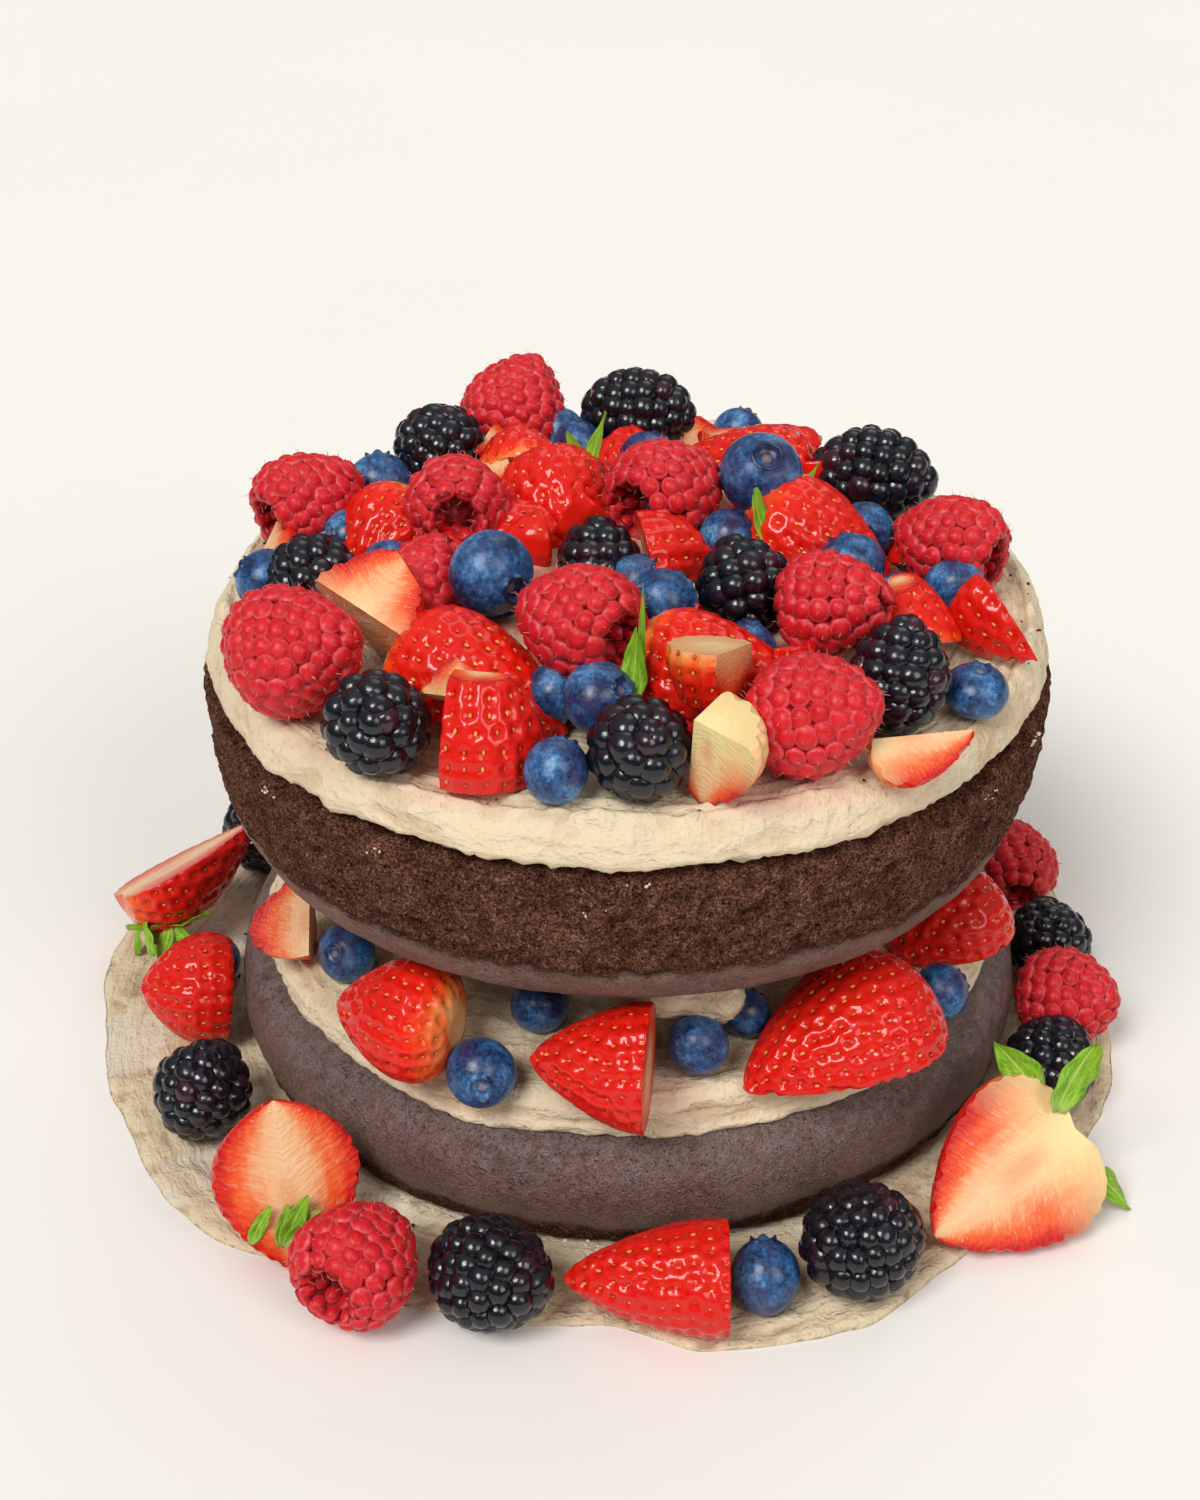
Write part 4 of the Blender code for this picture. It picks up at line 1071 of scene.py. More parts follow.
def blueberry_shape(radius, length, chance):
    """A blueberry: a slightly flattened ball with its low, five-lobed crown round a shallow dent."""
    steps = 40
    angles = np.arange(steps) * math.tau / steps
    ball_rows = 22
    rows = []
    for row in range(ball_rows):
        turn = math.pi * (0.03 + 0.84 * row / (ball_rows - 1))
        rows.append((radius * math.sin(turn), -0.5 * length * math.cos(turn), 0.0))
    lip, top, _ = rows[-1]
    for share, rise, paint in CROWN:
        rows.append((lip * share, top + rise * length, paint))
    reach, height, relief = (np.repeat(np.array(values)[:, None], steps, axis=1) for values in zip(*rows))
    raised = np.clip(relief, 0, 1) * (relief < 1.2)
    lobes = np.cos(5 * angles + chance.uniform(0, math.tau))
    height = height + raised * chance.uniform(0.01, 0.035) * length * lobes
    reach = reach * (1 + raised * 0.08 * lobes)
    swell = noise(grid_points(reach, height, angles), 0.9 * radius, chance.randrange(1000))
    reach = reach * (1 + 0.03 * swell)
    points = capped_points(reach, height, angles, -0.5 * length, float(height[-1, 0]) - 0.01 * length)
    tone = chance.random()
    own = points / radius + np.array([7.0 * chance.random(), 0, 0])
    relief = np.append(relief.ravel(), [0.0, 2.0])
    body = Shape()
    body.add(points, capped_faces(len(rows), steps), tone=tone, relief=relief, own=own)
    return body


# Strawberries

def strawberry_reach(share, fullness):
    """Reach of a strawberry in radii, at a share of its length from the stem."""
    return np.sin(math.pi * np.clip(share, 0, 1) ** fullness) ** STRAWBERRY_ROUNDNESS


def seed_places(radius, length, fullness, chance):
    """Places of the seeds on a strawberry: staggered rows, as (place, direction out)."""
    shares = np.linspace(0.05, 0.975, 120)
    path = [(radius * float(strawberry_reach(share, fullness)), length * (share - 0.5)) for share in shares]
    places = []
    for number, (reach, height, side, up) in enumerate(path_rows(path, 2.75)):
        count = max(1, round(math.tau * reach / 3.2))
        for seed in range(count):
            turn = math.tau * (seed + 0.5 * (number % 2) + chance.uniform(-0.13, 0.13)) / count
            level = height + chance.uniform(-0.25, 0.25)
            place = Vector((reach * math.cos(turn), reach * math.sin(turn), level))
            places.append((place, way_out(turn, side, up)))
    return places


def strawberry_skin(radius, length, fullness, seeds, spacing, chance):
    """The whole fruit's skin as points, faces, and depth of the pits round the seeds."""
    steps = int(min(150, max(24, round(math.tau * radius / spacing))))
    rows = int(min(84, max(14, round(1.3 * length / spacing))))
    angles = np.arange(steps) * math.tau / steps
    shares = 0.5 - 0.5 * np.cos(math.pi * np.linspace(0.06, 0.97, rows))
    reach = np.repeat(radius * strawberry_reach(shares, fullness)[:, None], steps, axis=1)
    height = np.repeat((length * (shares - 0.5))[:, None], steps, axis=1)
    start = chance.randrange(1000)
    reach = reach * (1 + 0.035 * noise(grid_points(reach, height, angles), 0.9 * radius, start))
    points = capped_points(reach, height, angles, -0.45 * length, 0.5 * length)
    tree = KDTree(len(seeds))
    for index, (place, _) in enumerate(seeds):
        tree.insert(place, index)
    tree.balance()
    near = np.array([tree.find(point)[2] for point in points])
    pits = np.exp(-((near / 0.85) ** 2))
    rims = np.exp(-(((near - 1.45) / 0.45) ** 2))
    side, up = outward(reach, height)
    side = with_ends(side)
    up = np.append(up.ravel(), [-1, 1])
    flat = with_ends(np.tile(angles, rows))
    away = np.stack([side * np.cos(flat), side * np.sin(flat), up], axis=1)
    points = points + away * (0.1 - 0.75 * pits + 0.3 * rims)[:, None]
    # Pits and rims also set where the skin gets its painted highlight and its painted shade.
    return points, capped_faces(rows, steps), pits + 0.5 * rims * (pits < 0.3)


def cut_body(points, faces, pits, cuts, radius):
    """Cuts the fruit by planes. Gives its points, faces, pits, and which faces are cut flesh."""
    body = bmesh.new()
    layer = body.verts.layers.float.new("pit")
    verts = []
    for point, pit in zip(points, pits):
        vert = body.verts.new(point)
        vert[layer] = pit
        verts.append(vert)
    for face in faces:
        body.faces.new([verts[index] for index in face])
    for x, y, z, reach in cuts:
        normal = Vector((x, y, z)).normalized()
        everything = body.verts[:] + body.edges[:] + body.faces[:]
        cut = bmesh.ops.bisect_plane(
            body, geom=everything, dist=1e-5, plane_co=normal * reach * radius, plane_no=normal,
            clear_outer=True,
        )
        edges = [part for part in cut["geom_cut"] if isinstance(part, bmesh.types.BMEdge)]
        filled = bmesh.ops.edgeloop_fill(body, edges=edges)
        for face in filled["faces"]:
            face.material_index = FLESH_SLOT
    body.verts.index_update()
    new_points = np.array([vert.co[:] for vert in body.verts])
    new_pits = np.array([vert[layer] for vert in body.verts])
    new_faces = [tuple(vert.index for vert in face.verts) for face in body.faces]
    flesh = np.array([face.material_index for face in body.faces])
    body.free()
    return new_points, new_faces, new_pits, flesh


def inside_cuts(place, cuts, radius, margin):
    """Whether a place is on the kept side of every cut."""
    for x, y, z, reach in cuts:
        normal = Vector((x, y, z)).normalized()
        if place.dot(normal) > reach * radius - margin:
            return False
    return True


def add_seeds(body, seeds, cuts, radius, middle, chance):
    """Small pointed seeds that sit in the pits of the skin."""
    points, faces, _ = SEED
    shaped = points.copy()
    shaped[:, 0] = shaped[:, 0] * (1 - 0.45 * shaped[:, 1])
    for place, out in seeds:
        if not inside_cuts(place, cuts, radius, 0.5):
            continue
        to_tip = (Vector((0, 0, 1)) - out * out.z).normalized() if abs(out.z) < 0.98 else Vector((1, 0, 0))
        across = to_tip.cross(out)
        frame = np.array([across * 0.36, to_tip * 0.58, out * 0.3])
        sunk = place - out * 0.42 - middle
        body.add(shaped @ frame + np.array(sunk), faces, slot=SEED_SLOT, tone=chance.random())


def strawberry_shape(radius, length, cuts, pale, spacing, fullness, leaves, chance):
    """A strawberry or a piece of one, centred on its own box, with its seeds and leaves."""
    seeds = seed_places(radius, length, fullness, chance)
    points, faces, pits = strawberry_skin(radius, length, fullness, seeds, spacing, chance)
    points, faces, pits, flesh = cut_body(points, faces, pits, cuts, radius)
    low, high = points.min(axis=0), points.max(axis=0)
    middle = (low + high) / 2
    own = np.stack([points[:, 0] / radius, points[:, 1] / radius, points[:, 2] / length + 0.5], axis=1)
    body = Shape()
    body.add(points - middle, faces, slot=flesh, tone=pale, relief=pits, own=own, smooth=flesh == 0)
    add_seeds(body, seeds, cuts, radius, Vector(middle), chance)
    base = Matrix.Translation(((high - middle)[0] - LEAF_INSET, 0, (low - middle)[2] + LEAF_DEPTH))
    for start, leaf_length, turn, fold, width, roll in leaves:
        spread = Matrix.Rotation(math.radians(turn), 4, "Z") @ Matrix.Translation((start, 0, 0))
        folded = Matrix.Rotation(math.radians(fold), 4, "Y") @ Matrix.Rotation(math.radians(roll), 4, "X")
        add_leaf(body, leaf_length, width, base @ spread @ folded, LEAF_SLOT)
    return body


def fruit_shape(name, kind, radius, length, cuts, materials, seed, leaves=()):
    """One fruit in its own axes, and the materials that it uses."""
    chance = random.Random(seed)
    if kind == "strawberry":
        pale = PALE_TO.get(name, USUAL_PALE)
        spacing = HIDDEN_STEP if "filler" in name else STRAWBERRY_STEP
        fullness = FULLNESS.get(name, USUAL_FULLNESS)
        flesh = "flesh" if fullness == USUAL_FULLNESS else "flesh_blunt"
        body = strawberry_shape(radius, length, cuts, pale, spacing, fullness, leaves, chance)
        return body, [materials[label] for label in ("strawberry", flesh, "seed", "leaf")]
    if kind == "raspberry":
        used = ("raspberry", "raspberry_inside", "hair")
        return raspberry_shape(radius, length, chance), [materials[label] for label in used]
    make_shape = bramble_shape if kind == "bramble" else blueberry_shape
    return make_shape(radius, length, chance), [materials[kind]]


# Leaves

# How wide a leaf is along its length, as shares of its length and of its width
LEAF_SHARES = (0, 0.12, 0.3, 0.65, 0.9, 1)
LEAF_WIDTHS = (0.35, 0.7, 1.0, 0.75, 0.3, 0.04)


def add_leaf(body, length, width, place, slot):
    """A thin pointed leaf along +X from its base, curling up at its end, with a furrow along its middle."""
    rows, columns = 15, 9
    sheets = []
    own = []
    for side in (0.5, -0.5):
        for row in range(rows):
            share = row / (rows - 1)
            wide = float(np.interp(share, LEAF_SHARES, LEAF_WIDTHS))
            curl = 0.22 * length * share**2
            for column in range(columns):
                across = 2 * column / (columns - 1) - 1
                wave = 0.12 * width * math.sin(6 * share) * across + 0.14 * width * abs(across)
                ruffle = 0.05 * width * math.sin(17 * share + 2 * across) * abs(across)
                thick = side * LEAF_THICK * (1.1 - 0.75 * abs(across)) * (1.1 - 0.8 * share)
                height = curl + wave + ruffle + thick
                point = place @ Vector((length * share, 0.5 * width * wide * across, height))
                sheets.append(tuple(point))
                own.append((share, across, side))
    faces = []
    lower = rows * columns
    for row in range(rows - 1):
        for column in range(columns - 1):
            one = row * columns + column
            two, three, four = one + 1, one + columns, one + columns + 1
            faces.append((one, three, four, two))
            faces.append((lower + one, lower + two, lower + four, lower + three))
    rim = [row * columns for row in range(rows)]
    rim += [(rows - 1) * columns + column for column in range(1, columns)]
    rim += [row * columns + columns - 1 for row in range(rows - 2, -1, -1)]
    rim += list(range(columns - 2, 0, -1))
    for start, end in zip(rim, rim[1:] + rim[:1]):
        faces.append((start, lower + start, lower + end, end))
    body.add(sheets, faces, slot=slot, own=own)


# Placing the fruit and the leaves

def fruit_turn(turn, lift, spin):
    """Turns the fruit's own +Z to the direction of its tip, after a spin about itself."""
    aim = Matrix.Rotation(math.radians(turn), 4, "Z")
    tilt = Matrix.Rotation(math.radians(90 - lift), 4, "Y")
    return aim @ tilt @ Matrix.Rotation(math.radians(spin), 4, "Z")


def place_node_fruit(materials, limits):
    """Sets each fruit with a CAD node of its own where that node is."""
    for number, (name, radius, length, turn, lift, spin, cuts) in enumerate(NODE_FRUIT):
        kind = name.split("_")[1]
        leaves = STRAWBERRY_LEAVES.get(name, ())
        seed = NODE_FRUIT_SEED + number
        body, used = fruit_shape(name, kind, radius, length, cuts, materials, seed, leaves)
        middle = body.turned(fruit_turn(turn, lift, spin))
        low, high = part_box(name)
        target = np.array((low + high) / 2) / MM
        body.moved(target - middle - np.array([0, 0, PRESS]))
        body.held_in(limits)
        settle_in(body.to_object(name + "_ripe", used), kind, name)


def place_leaves(name, leaves, material, node):
    """Single leaves, each from its own base."""
    body = Shape()
    for x, y, z, length, width, turn, lift, roll in leaves:
        raised = fruit_turn(turn, lift, 0) @ Matrix.Rotation(math.radians(-90), 4, "Y")
        place = Matrix.Translation((x, y, z)) @ raised @ Matrix.Rotation(math.radians(roll), 4, "X")
        add_leaf(body, length, width, place, 0)
    settle_in(body.to_object(name, [material]), "strawberry", node)


def place_heap_fruit(materials, limits):
    """Sets the fruit of the heap."""
    for number, (kind, x, y, z, radius, length, turn, lift, spin, cuts) in enumerate(HEAP_FRUIT):
        name = f"heap_{kind}_{number}"
        body, used = fruit_shape(name, kind, radius, length, cuts, materials, HEAP_FRUIT_SEED + number)
        body.turned(fruit_turn(turn, lift, spin))
        body.moved((x, y, z))
        body.held_in(limits)
        settle_in(body.to_object(name, used), kind, "berry_heap")


def make_heap_core(material):
    """The low mound of cream that the heap's fruit lies on."""
    floor = TOP_CREAM_TOP - 0.3
    top = floor + 0.9 * HEAP_CORE_HEIGHT
    edge = ripple(51, (2, 3, 5))

    def outline(angle):
        reach = 52.0 + 7.0 * math.sin(angle) + 1.5 * edge(angle)
        return (
            (MIDDLE, floor),
            (reach, floor),
            (reach - 3, floor + 0.4 * HEAP_CORE_HEIGHT),
            (0.7 * reach, floor + 0.7 * HEAP_CORE_HEIGHT),
            (MIDDLE, top),
        )

    reach, height, angles = turned_grid(outline, spacing=4.0, steps=96)
    points = grid_points(reach, height, angles)
    push = 1.1 * rough(points, 7.0, 191) * (height > floor + 0.5)
    reach, height = pushed(reach, height, push)
    body = Shape()
    points = capped_points(reach, height, angles, floor, top)
    body.add(points, capped_faces(*reach.shape), tone=0.2, relief=0.0)
    settle_in(body.to_object("heap_core", [material]), "raspberry", "berry_heap")


def make_heap_filler(materials):
    """Small fruit low in the heap, seen only through the gaps."""
    chance = random.Random(77)
    number = 0
    for distance, count in FILLER_RINGS:
        for step in range(count):
            turn = math.tau * (step + chance.uniform(-0.2, 0.2)) / count
            x = distance * math.cos(turn)
            y = distance * math.sin(turn) + FILLER_MIDDLE_Y
            z = FILLER_HEIGHT - FILLER_DROP * (distance / FILLER_DROP_REACH) ** 2
            if number % 3 == 0:
                kind, cuts, radius = "blueberry", WHOLE, chance.uniform(4.6, 5.6)
            else:
                kind, cuts, radius = "strawberry", CHUNK, chance.uniform(6.0, 7.0)
            name = f"heap_filler_{number}"
            body, used = fruit_shape(name, kind, radius, 1.9 * radius, cuts, materials, FILLER_SEED + number)
            body.turned(fruit_turn(chance.uniform(0, 360), chance.uniform(-60, 80), chance.uniform(0, 360)))
            body.moved((x, y, z))
            settle_in(body.to_object(name, used), kind, "berry_heap")
            number += 1


def make_crumbs(materials):
    """Crumbs of sponge on the cream's edge and round the foot, and bits of cream on the sponges."""
    chance = random.Random(5)
    points, faces, _ = ball_form(6, (40, 85, 130))

    def crumb(body, distance, turn, level, size, **marks):
        lumpy = points * np.array([[chance.uniform(0.5, 1.4)] for _ in points]) * size
        lumpy = lumpy * np.array([chance.uniform(0.7, 1.5), chance.uniform(0.7, 1.5), 0.8])
        place = np.array([distance * math.cos(turn), distance * math.sin(turn), level])
        body.add(lumpy + place, faces, smooth=False, **marks)

    dark = Shape()
    for _ in range(46):
        distance = TOP_CREAM_RADIUS + chance.uniform(-5, 0.5)
        turn = chance.uniform(0, math.tau)
        crumb(dark, distance, turn, TOP_CREAM_TOP + 0.2, chance.uniform(0.15, 0.4), tone=1.0)
    for _ in range(60):
        distance = chance.uniform(TIN_RADIUS + 0.5, TIN_RADIUS + 6)
        turn = chance.uniform(0, math.tau)
        crumb(dark, distance, turn, FOOT_CREAM_TOP, chance.uniform(0.2, 0.5), tone=1.0)
    settle_in(dark.to_object("crumbs", [materials["crumb"]]), "sponge", "sponge_upper")
    light = Shape()
    for _ in range(16):
        turn = chance.uniform(0, math.tau)
        level = UPPER_RIM - 1.5 - 7 * chance.random() ** 2
        for _ in range(chance.randrange(2, 8)):
            near = turn + chance.uniform(-0.03, 0.03)
            height = level + chance.uniform(-0.8, 0.8)
            crumb(light, TIN_RADIUS + 0.5, near, height, chance.uniform(0.12, 0.32), tone=0.0, relief=0.7)
    for _ in range(14):
        turn = chance.uniform(0, math.tau)
        for _ in range(chance.randrange(2, 7)):
            near = turn + chance.uniform(-0.05, 0.05)
            height = chance.uniform(3.5, 6)
            crumb(light, TIN_RADIUS - 0.6, near, height, chance.uniform(0.15, 0.4), tone=0.0, relief=0.7)
    settle_in(light.to_object("cream_bits", [materials["cream"]]), "cream", "cream_top")


# Materials

class Paint:
    """A material's nodes, with a short call for each kind that is used."""

    def __init__(self, name):
        self.material = bpy.data.materials.new(name)
        self.material.use_nodes = True
        self.tree = self.material.node_tree
        self.shader = self.tree.nodes["Principled BSDF"]

    def put(self, socket, value):
        """Links a node's output to a socket, or sets the socket to a plain value."""
        if isinstance(value, bpy.types.NodeSocket):
            self.tree.links.new(value, socket)
        else:
            socket.default_value = value

    def node(self, kind, **values):
        """A new node of a kind, with its inputs set by their names."""
        node = self.tree.nodes.new("ShaderNode" + kind)
        for label, value in values.items():
            self.put(node.inputs[label.replace("_", " ")], value)
        return node

    def mark(self, name, part="Fac"):
        """What the points of a piece are painted with under this name."""
        node = self.node("Attribute")
        node.attribute_name = name
        return node.outputs[part]

    def place(self):
        """The piece's own coordinates in metres."""
        return self.node("TexCoord").outputs["Object"]

    def noise(self, where, scale, detail=4.0, roughness=0.55):
        """Smooth noise between 0 and 1."""
        node = self.node("TexNoise", Vector=where, Scale=scale, Detail=detail, Roughness=roughness)
        return node.outputs["Fac"]

    def cells(self, where, scale):
        """Distance to the nearest of many scattered spots."""
        return self.node("TexVoronoi", Vector=where, Scale=scale).outputs["Distance"]

    def math(self, operation, one, two=0.0):
        """One operation on one or two values."""
        node = self.node("Math")
        node.operation = operation
        self.put(node.inputs[0], one)
        self.put(node.inputs[1], two)
        return node.outputs[0]

    def plus(self, one, two):
        """The sum of two values."""
        return self.math("ADD", one, two)

    def minus(self, one, two):
        """One value less another."""
        return self.math("SUBTRACT", one, two)

    def times(self, one, two):
        """One value times another."""
        return self.math("MULTIPLY", one, two)

    def larger(self, one, two):
        """The larger of two values."""
        return self.math("MAXIMUM", one, two)

    def off_axis(self, x, y):
        """Distance from the axis of a place given by its x and y."""
        return self.math("SQRT", self.plus(self.times(x, x), self.times(y, y)))

    def split(self, value):
        """The three parts of a place."""
        return self.node("SeparateXYZ", Vector=value).outputs

    def join(self, x, y, z=0.0):
        """A place from its three parts."""
        return self.node("CombineXYZ", X=x, Y=y, Z=z).outputs[0]

    def span(self, value, low, high, start=0.0, end=1.0):
        """A value between low and high, spread to run from start to end."""
        node = self.node("MapRange", Value=value, From_Min=low, From_Max=high, To_Min=start, To_Max=end)
        return node.outputs[0]

    def ramp(self, value, stops):
        """Colours along a value, each given as its position, red, green and blue."""
        node = self.node("ValToRGB", Fac=value)
        elements = node.color_ramp.elements
        while len(elements) < len(stops):
            elements.new(1.0)
        for element, (position, *colour) in zip(elements, stops):
            element.position = position
            element.color = srgb(*colour)
        return node.outputs["Color"]

    def mix(self, share, one, two):
        """One colour where share is 0, and two where it is 1."""
        node = self.node("Mix")
        node.data_type = "RGBA"
        self.put(node.inputs["Factor"], share)
        self.put(node.inputs[6], one)
        self.put(node.inputs[7], two)
        return node.outputs[2]

    def bump(self, height, distance, strength=1.0, below=None):
        """A bumpy surface from a height, on top of the one below."""
        node = self.node("Bump", Height=height, Distance=distance, Strength=strength)
        if below is not None:
            self.put(node.inputs["Normal"], below)
        return node.outputs["Normal"]

    def finish(self, colour, roughness, normal=None, **settings):
        """Sets colour, roughness and normal, and other shader values by their names."""
        self.put(self.shader.inputs["Base Color"], colour)
        self.put(self.shader.inputs["Roughness"], roughness)
        if normal is not None:
            self.put(self.shader.inputs["Normal"], normal)
        for label, value in settings.items():
            self.shader.inputs[label.replace("_", " ")].default_value = value
        return self.material


def sponge_material(name, gloss):
    """Chocolate sponge, from crust to pitted crumb as tone says, with painted shade in the crumb's hollows
    and pits. own holds a dark share and a share of painted sheen.
    """
    paint = Paint(name)
    where = paint.place()
    fine = paint.noise(where, 2600, 3, 0.75)
    grain = paint.noise(where, 1300, 4, 0.75)
    pits = paint.span(paint.cells(where, 1150), 0.14, 0.36, 1.0, 0.0)
    wide = paint.noise(where, 80, 4)
    depth = paint.mark("relief")
    uneven = paint.times(paint.minus(grain, 0.5), 1.5)
    share = paint.span(paint.plus(paint.mark("tone"), uneven), 0.35, 0.65)
    crumbly = paint.plus(paint.times(fine, 0.5), paint.times(grain, 0.5))
    # Painted shade: the relief mark makes the crumb darker in its hollows and lighter on its ridges.
    crumbly = paint.plus(paint.span(crumbly, 0.34, 0.66), paint.span(depth, 0.2, 0.8, -0.16, 0.12))
    crumb = paint.ramp(
        crumbly,
        ((0.06, 62, 31, 21), (0.36, 110, 67, 52), (0.6, 142, 92, 74), (0.82, 178, 128, 106),
         (1.0, 210, 166, 140)),
    )
    # Painted shade in the fine pits of the crumb.
    crumb = paint.mix(paint.times(pits, 0.7), crumb, srgb(36, 17, 12))
    parts = paint.split(paint.mark("own", "Vector"))
    # Darker where own.X says: painted shade along the upper sponge's torn edge, and darker crumb at the
    # lower sponge's foot.
    crumb = paint.mix(paint.times(parts["X"], 0.45), crumb, srgb(44, 22, 16))
    crust = paint.ramp(wide, ((0.3, 118, 80, 66), (0.5, 138, 97, 82), (0.72, 156, 119, 104)))
    leather = paint.noise(where, 480, 4, 0.7)
    # Pale speckles by noise: partly the crust's own grain, partly painted sheen highlights.
    crust = paint.mix(paint.span(leather, 0.44, 0.62, 0.0, 0.35), crust, srgb(178, 142, 126))
    crust = paint.mix(paint.span(grain, 0.5, 0.62, 0.0, 0.35), crust, srgb(188, 156, 142))
    # Painted sheen: a pale grey gloss on the lower sponge's shoulder, where own.Y says, speckled by the
    # leather noise.
    painted_sheen = paint.times(parts["Y"], paint.span(leather, 0.36, 0.62, 0.1, 0.62))
    crust = paint.mix(painted_sheen, crust, srgb(178, 164, 166))
    crust = paint.mix(paint.span(fine, 0.36, 0.5, 0.5, 0.0), crust, srgb(66, 38, 31))
    colour = paint.mix(share, crust, crumb)
    height = paint.minus(paint.plus(fine, grain), paint.times(pits, 0.8))
    height = paint.times(height, paint.span(share, 0.0, 1.0, 0.6, 1.0))
    normal = paint.bump(height, 0.0012, 1.0, paint.bump(leather, 0.003, 0.8))
    low_sheen = paint.span(grain, 0.35, 0.65, 0.32, 0.56)
    level = paint.larger(low_sheen, paint.times(share, 0.95))
    return paint.finish(colour, level, normal, Specular_IOR_Level=gloss)


def cream_material(name, light, dark, marked):
    """Matt cream, with painted shade in its hollows. Tone shows where juice has tinted it or it is scraped
    thin.
    """
    paint = Paint(name)
    where = paint.place()
    depth = paint.mark("relief")
    clouds = paint.noise(where, 70, 4)
    grain = paint.noise(where, 1000, 4, 0.65)
    x, y, z = paint.split(where)
    away = paint.larger(paint.off_axis(x, y), 0.001)
    strokes = paint.join(
        paint.times(paint.math("DIVIDE", x, away), 14.0),
        paint.times(paint.math("DIVIDE", y, away), 14.0),
        paint.times(paint.plus(away, z), 900.0),
    )
    drag = paint.noise(strokes, 1.0, 4, 0.6)
    # Painted shade: the relief mark makes the cream darker, towards the dark colour, in its hollows and
    # lighter on its ridges.
    mixed = paint.plus(paint.times(depth, 0.45), paint.times(clouds, 0.2))
    mixed = paint.plus(mixed, paint.times(paint.span(drag, 0.25, 0.75), 0.2))
    mixed = paint.plus(mixed, paint.times(grain, 0.15))
    colour = paint.ramp(mixed, ((0.28, *dark), (0.46, *light), (0.8, *light)))
    colour = paint.mix(paint.times(paint.mark("tone"), 0.75), colour, srgb(*marked))
    specks = paint.cells(where, 240)
    thin_out = paint.span(paint.noise(where, 45, 2), 0.54, 0.64)
    dots = paint.times(paint.span(specks, 0.06, 0.1, 0.45, 0.0), thin_out)
    colour = paint.mix(dots, colour, srgb(120, 92, 68))
    pitted = paint.span(paint.cells(where, 800), 0.1, 0.45)
    fine = paint.bump(paint.plus(grain, paint.times(pitted, 0.5)), 0.0006, 0.6)
    normal = paint.bump(drag, 0.0014, 0.7, fine)
    return paint.finish(
        colour, 0.7, normal, Subsurface_Weight=0.06, Subsurface_Scale=0.0015, Specular_IOR_Level=0.25,
    )


def raspberry_material():
    """Soft red beads with a pale rim of painted sheen from their fuzz, and painted shade in the crease
    between them.
    """
    paint = Paint("raspberry")
    where = paint.place()
    nearness = paint.mark("relief")
    tone = paint.mark("tone")
    # By nearness to each bead's pole: painted shade at the bead's foot in the crease, and a pale ring of
    # painted sheen on its flank.
    colour = paint.ramp(
        nearness,
        ((0.08, 120, 2, 14), (0.24, 190, 30, 44), (0.36, 222, 84, 90), (0.5, 204, 22, 34),
         (1.0, 218, 34, 42)),
    )
    deeper = paint.mix(paint.span(tone, 0, 1, 0.0, 0.45), colour, srgb(184, 8, 22))
    cloud = paint.span(paint.noise(where, 420, 3), 0.48, 0.75, 0.0, 0.3)
    colour = paint.mix(cloud, deeper, srgb(232, 76, 80))
    normal = paint.bump(paint.noise(where, 1500, 3), 0.0002, 0.5)
    return paint.finish(
        colour, 0.38, normal, Subsurface_Weight=0.12, Subsurface_Scale=0.001,
        Subsurface_Radius=(1.0, 0.2, 0.15), Sheen_Weight=0.06, Sheen_Roughness=0.4,
        Sheen_Tint=srgb(255, 190, 190), Specular_IOR_Level=0.3,
    )


def raspberry_inside_material():
    """The pale, uneven floor of a raspberry's hollow."""
    paint = Paint("raspberry_inside")
    where = paint.place()
    colour = paint.ramp(
        paint.noise(where, 900, 4),
        ((0.35, 170, 40, 55), (0.5, 205, 95, 100), (0.65, 232, 165, 155)),
    )
    return paint.finish(colour, 0.6, paint.bump(paint.noise(where, 1200, 4), 0.0006, 0.8))


def hair_material():
    """Pale hairs, from pink to cream."""
    paint = Paint("hair")
    colour = paint.ramp(paint.noise(paint.place(), 300), ((0.3, 214, 120, 110), (0.7, 236, 190, 170)))
    return paint.finish(colour, 0.6)


def bramble_material():
    """Nearly black beads, some with a purple or brown cast, glossy, with painted shade in the creases
    between them.
    """
    paint = Paint("bramble")
    where = paint.place()
    tone = paint.mark("tone")
    bead = paint.ramp(
        tone,
        ((0.0, 4, 6, 13), (0.6, 9, 12, 24), (0.85, 20, 10, 24), (1.0, 50, 14, 28)),
    )
    nearness = paint.mark("relief")
    # Painted shade: near black where the beads dip into the creases between them.
    colour = paint.mix(paint.span(nearness, 0.0, 0.35, 0.9, 0.0), bead, srgb(1, 1, 4))
    dust = paint.span(paint.noise(where, 500, 4), 0.5, 0.8, 0.0, 0.12)
    colour = paint.mix(dust, colour, srgb(70, 82, 106))
    rough_level = paint.span(paint.noise(where, 700, 3), 0.3, 0.7, 0.12, 0.26)
    normal = paint.bump(paint.noise(where, 1300, 3), 0.00014, 0.5)
    return paint.finish(colour, rough_level, normal, Specular_IOR_Level=0.6)


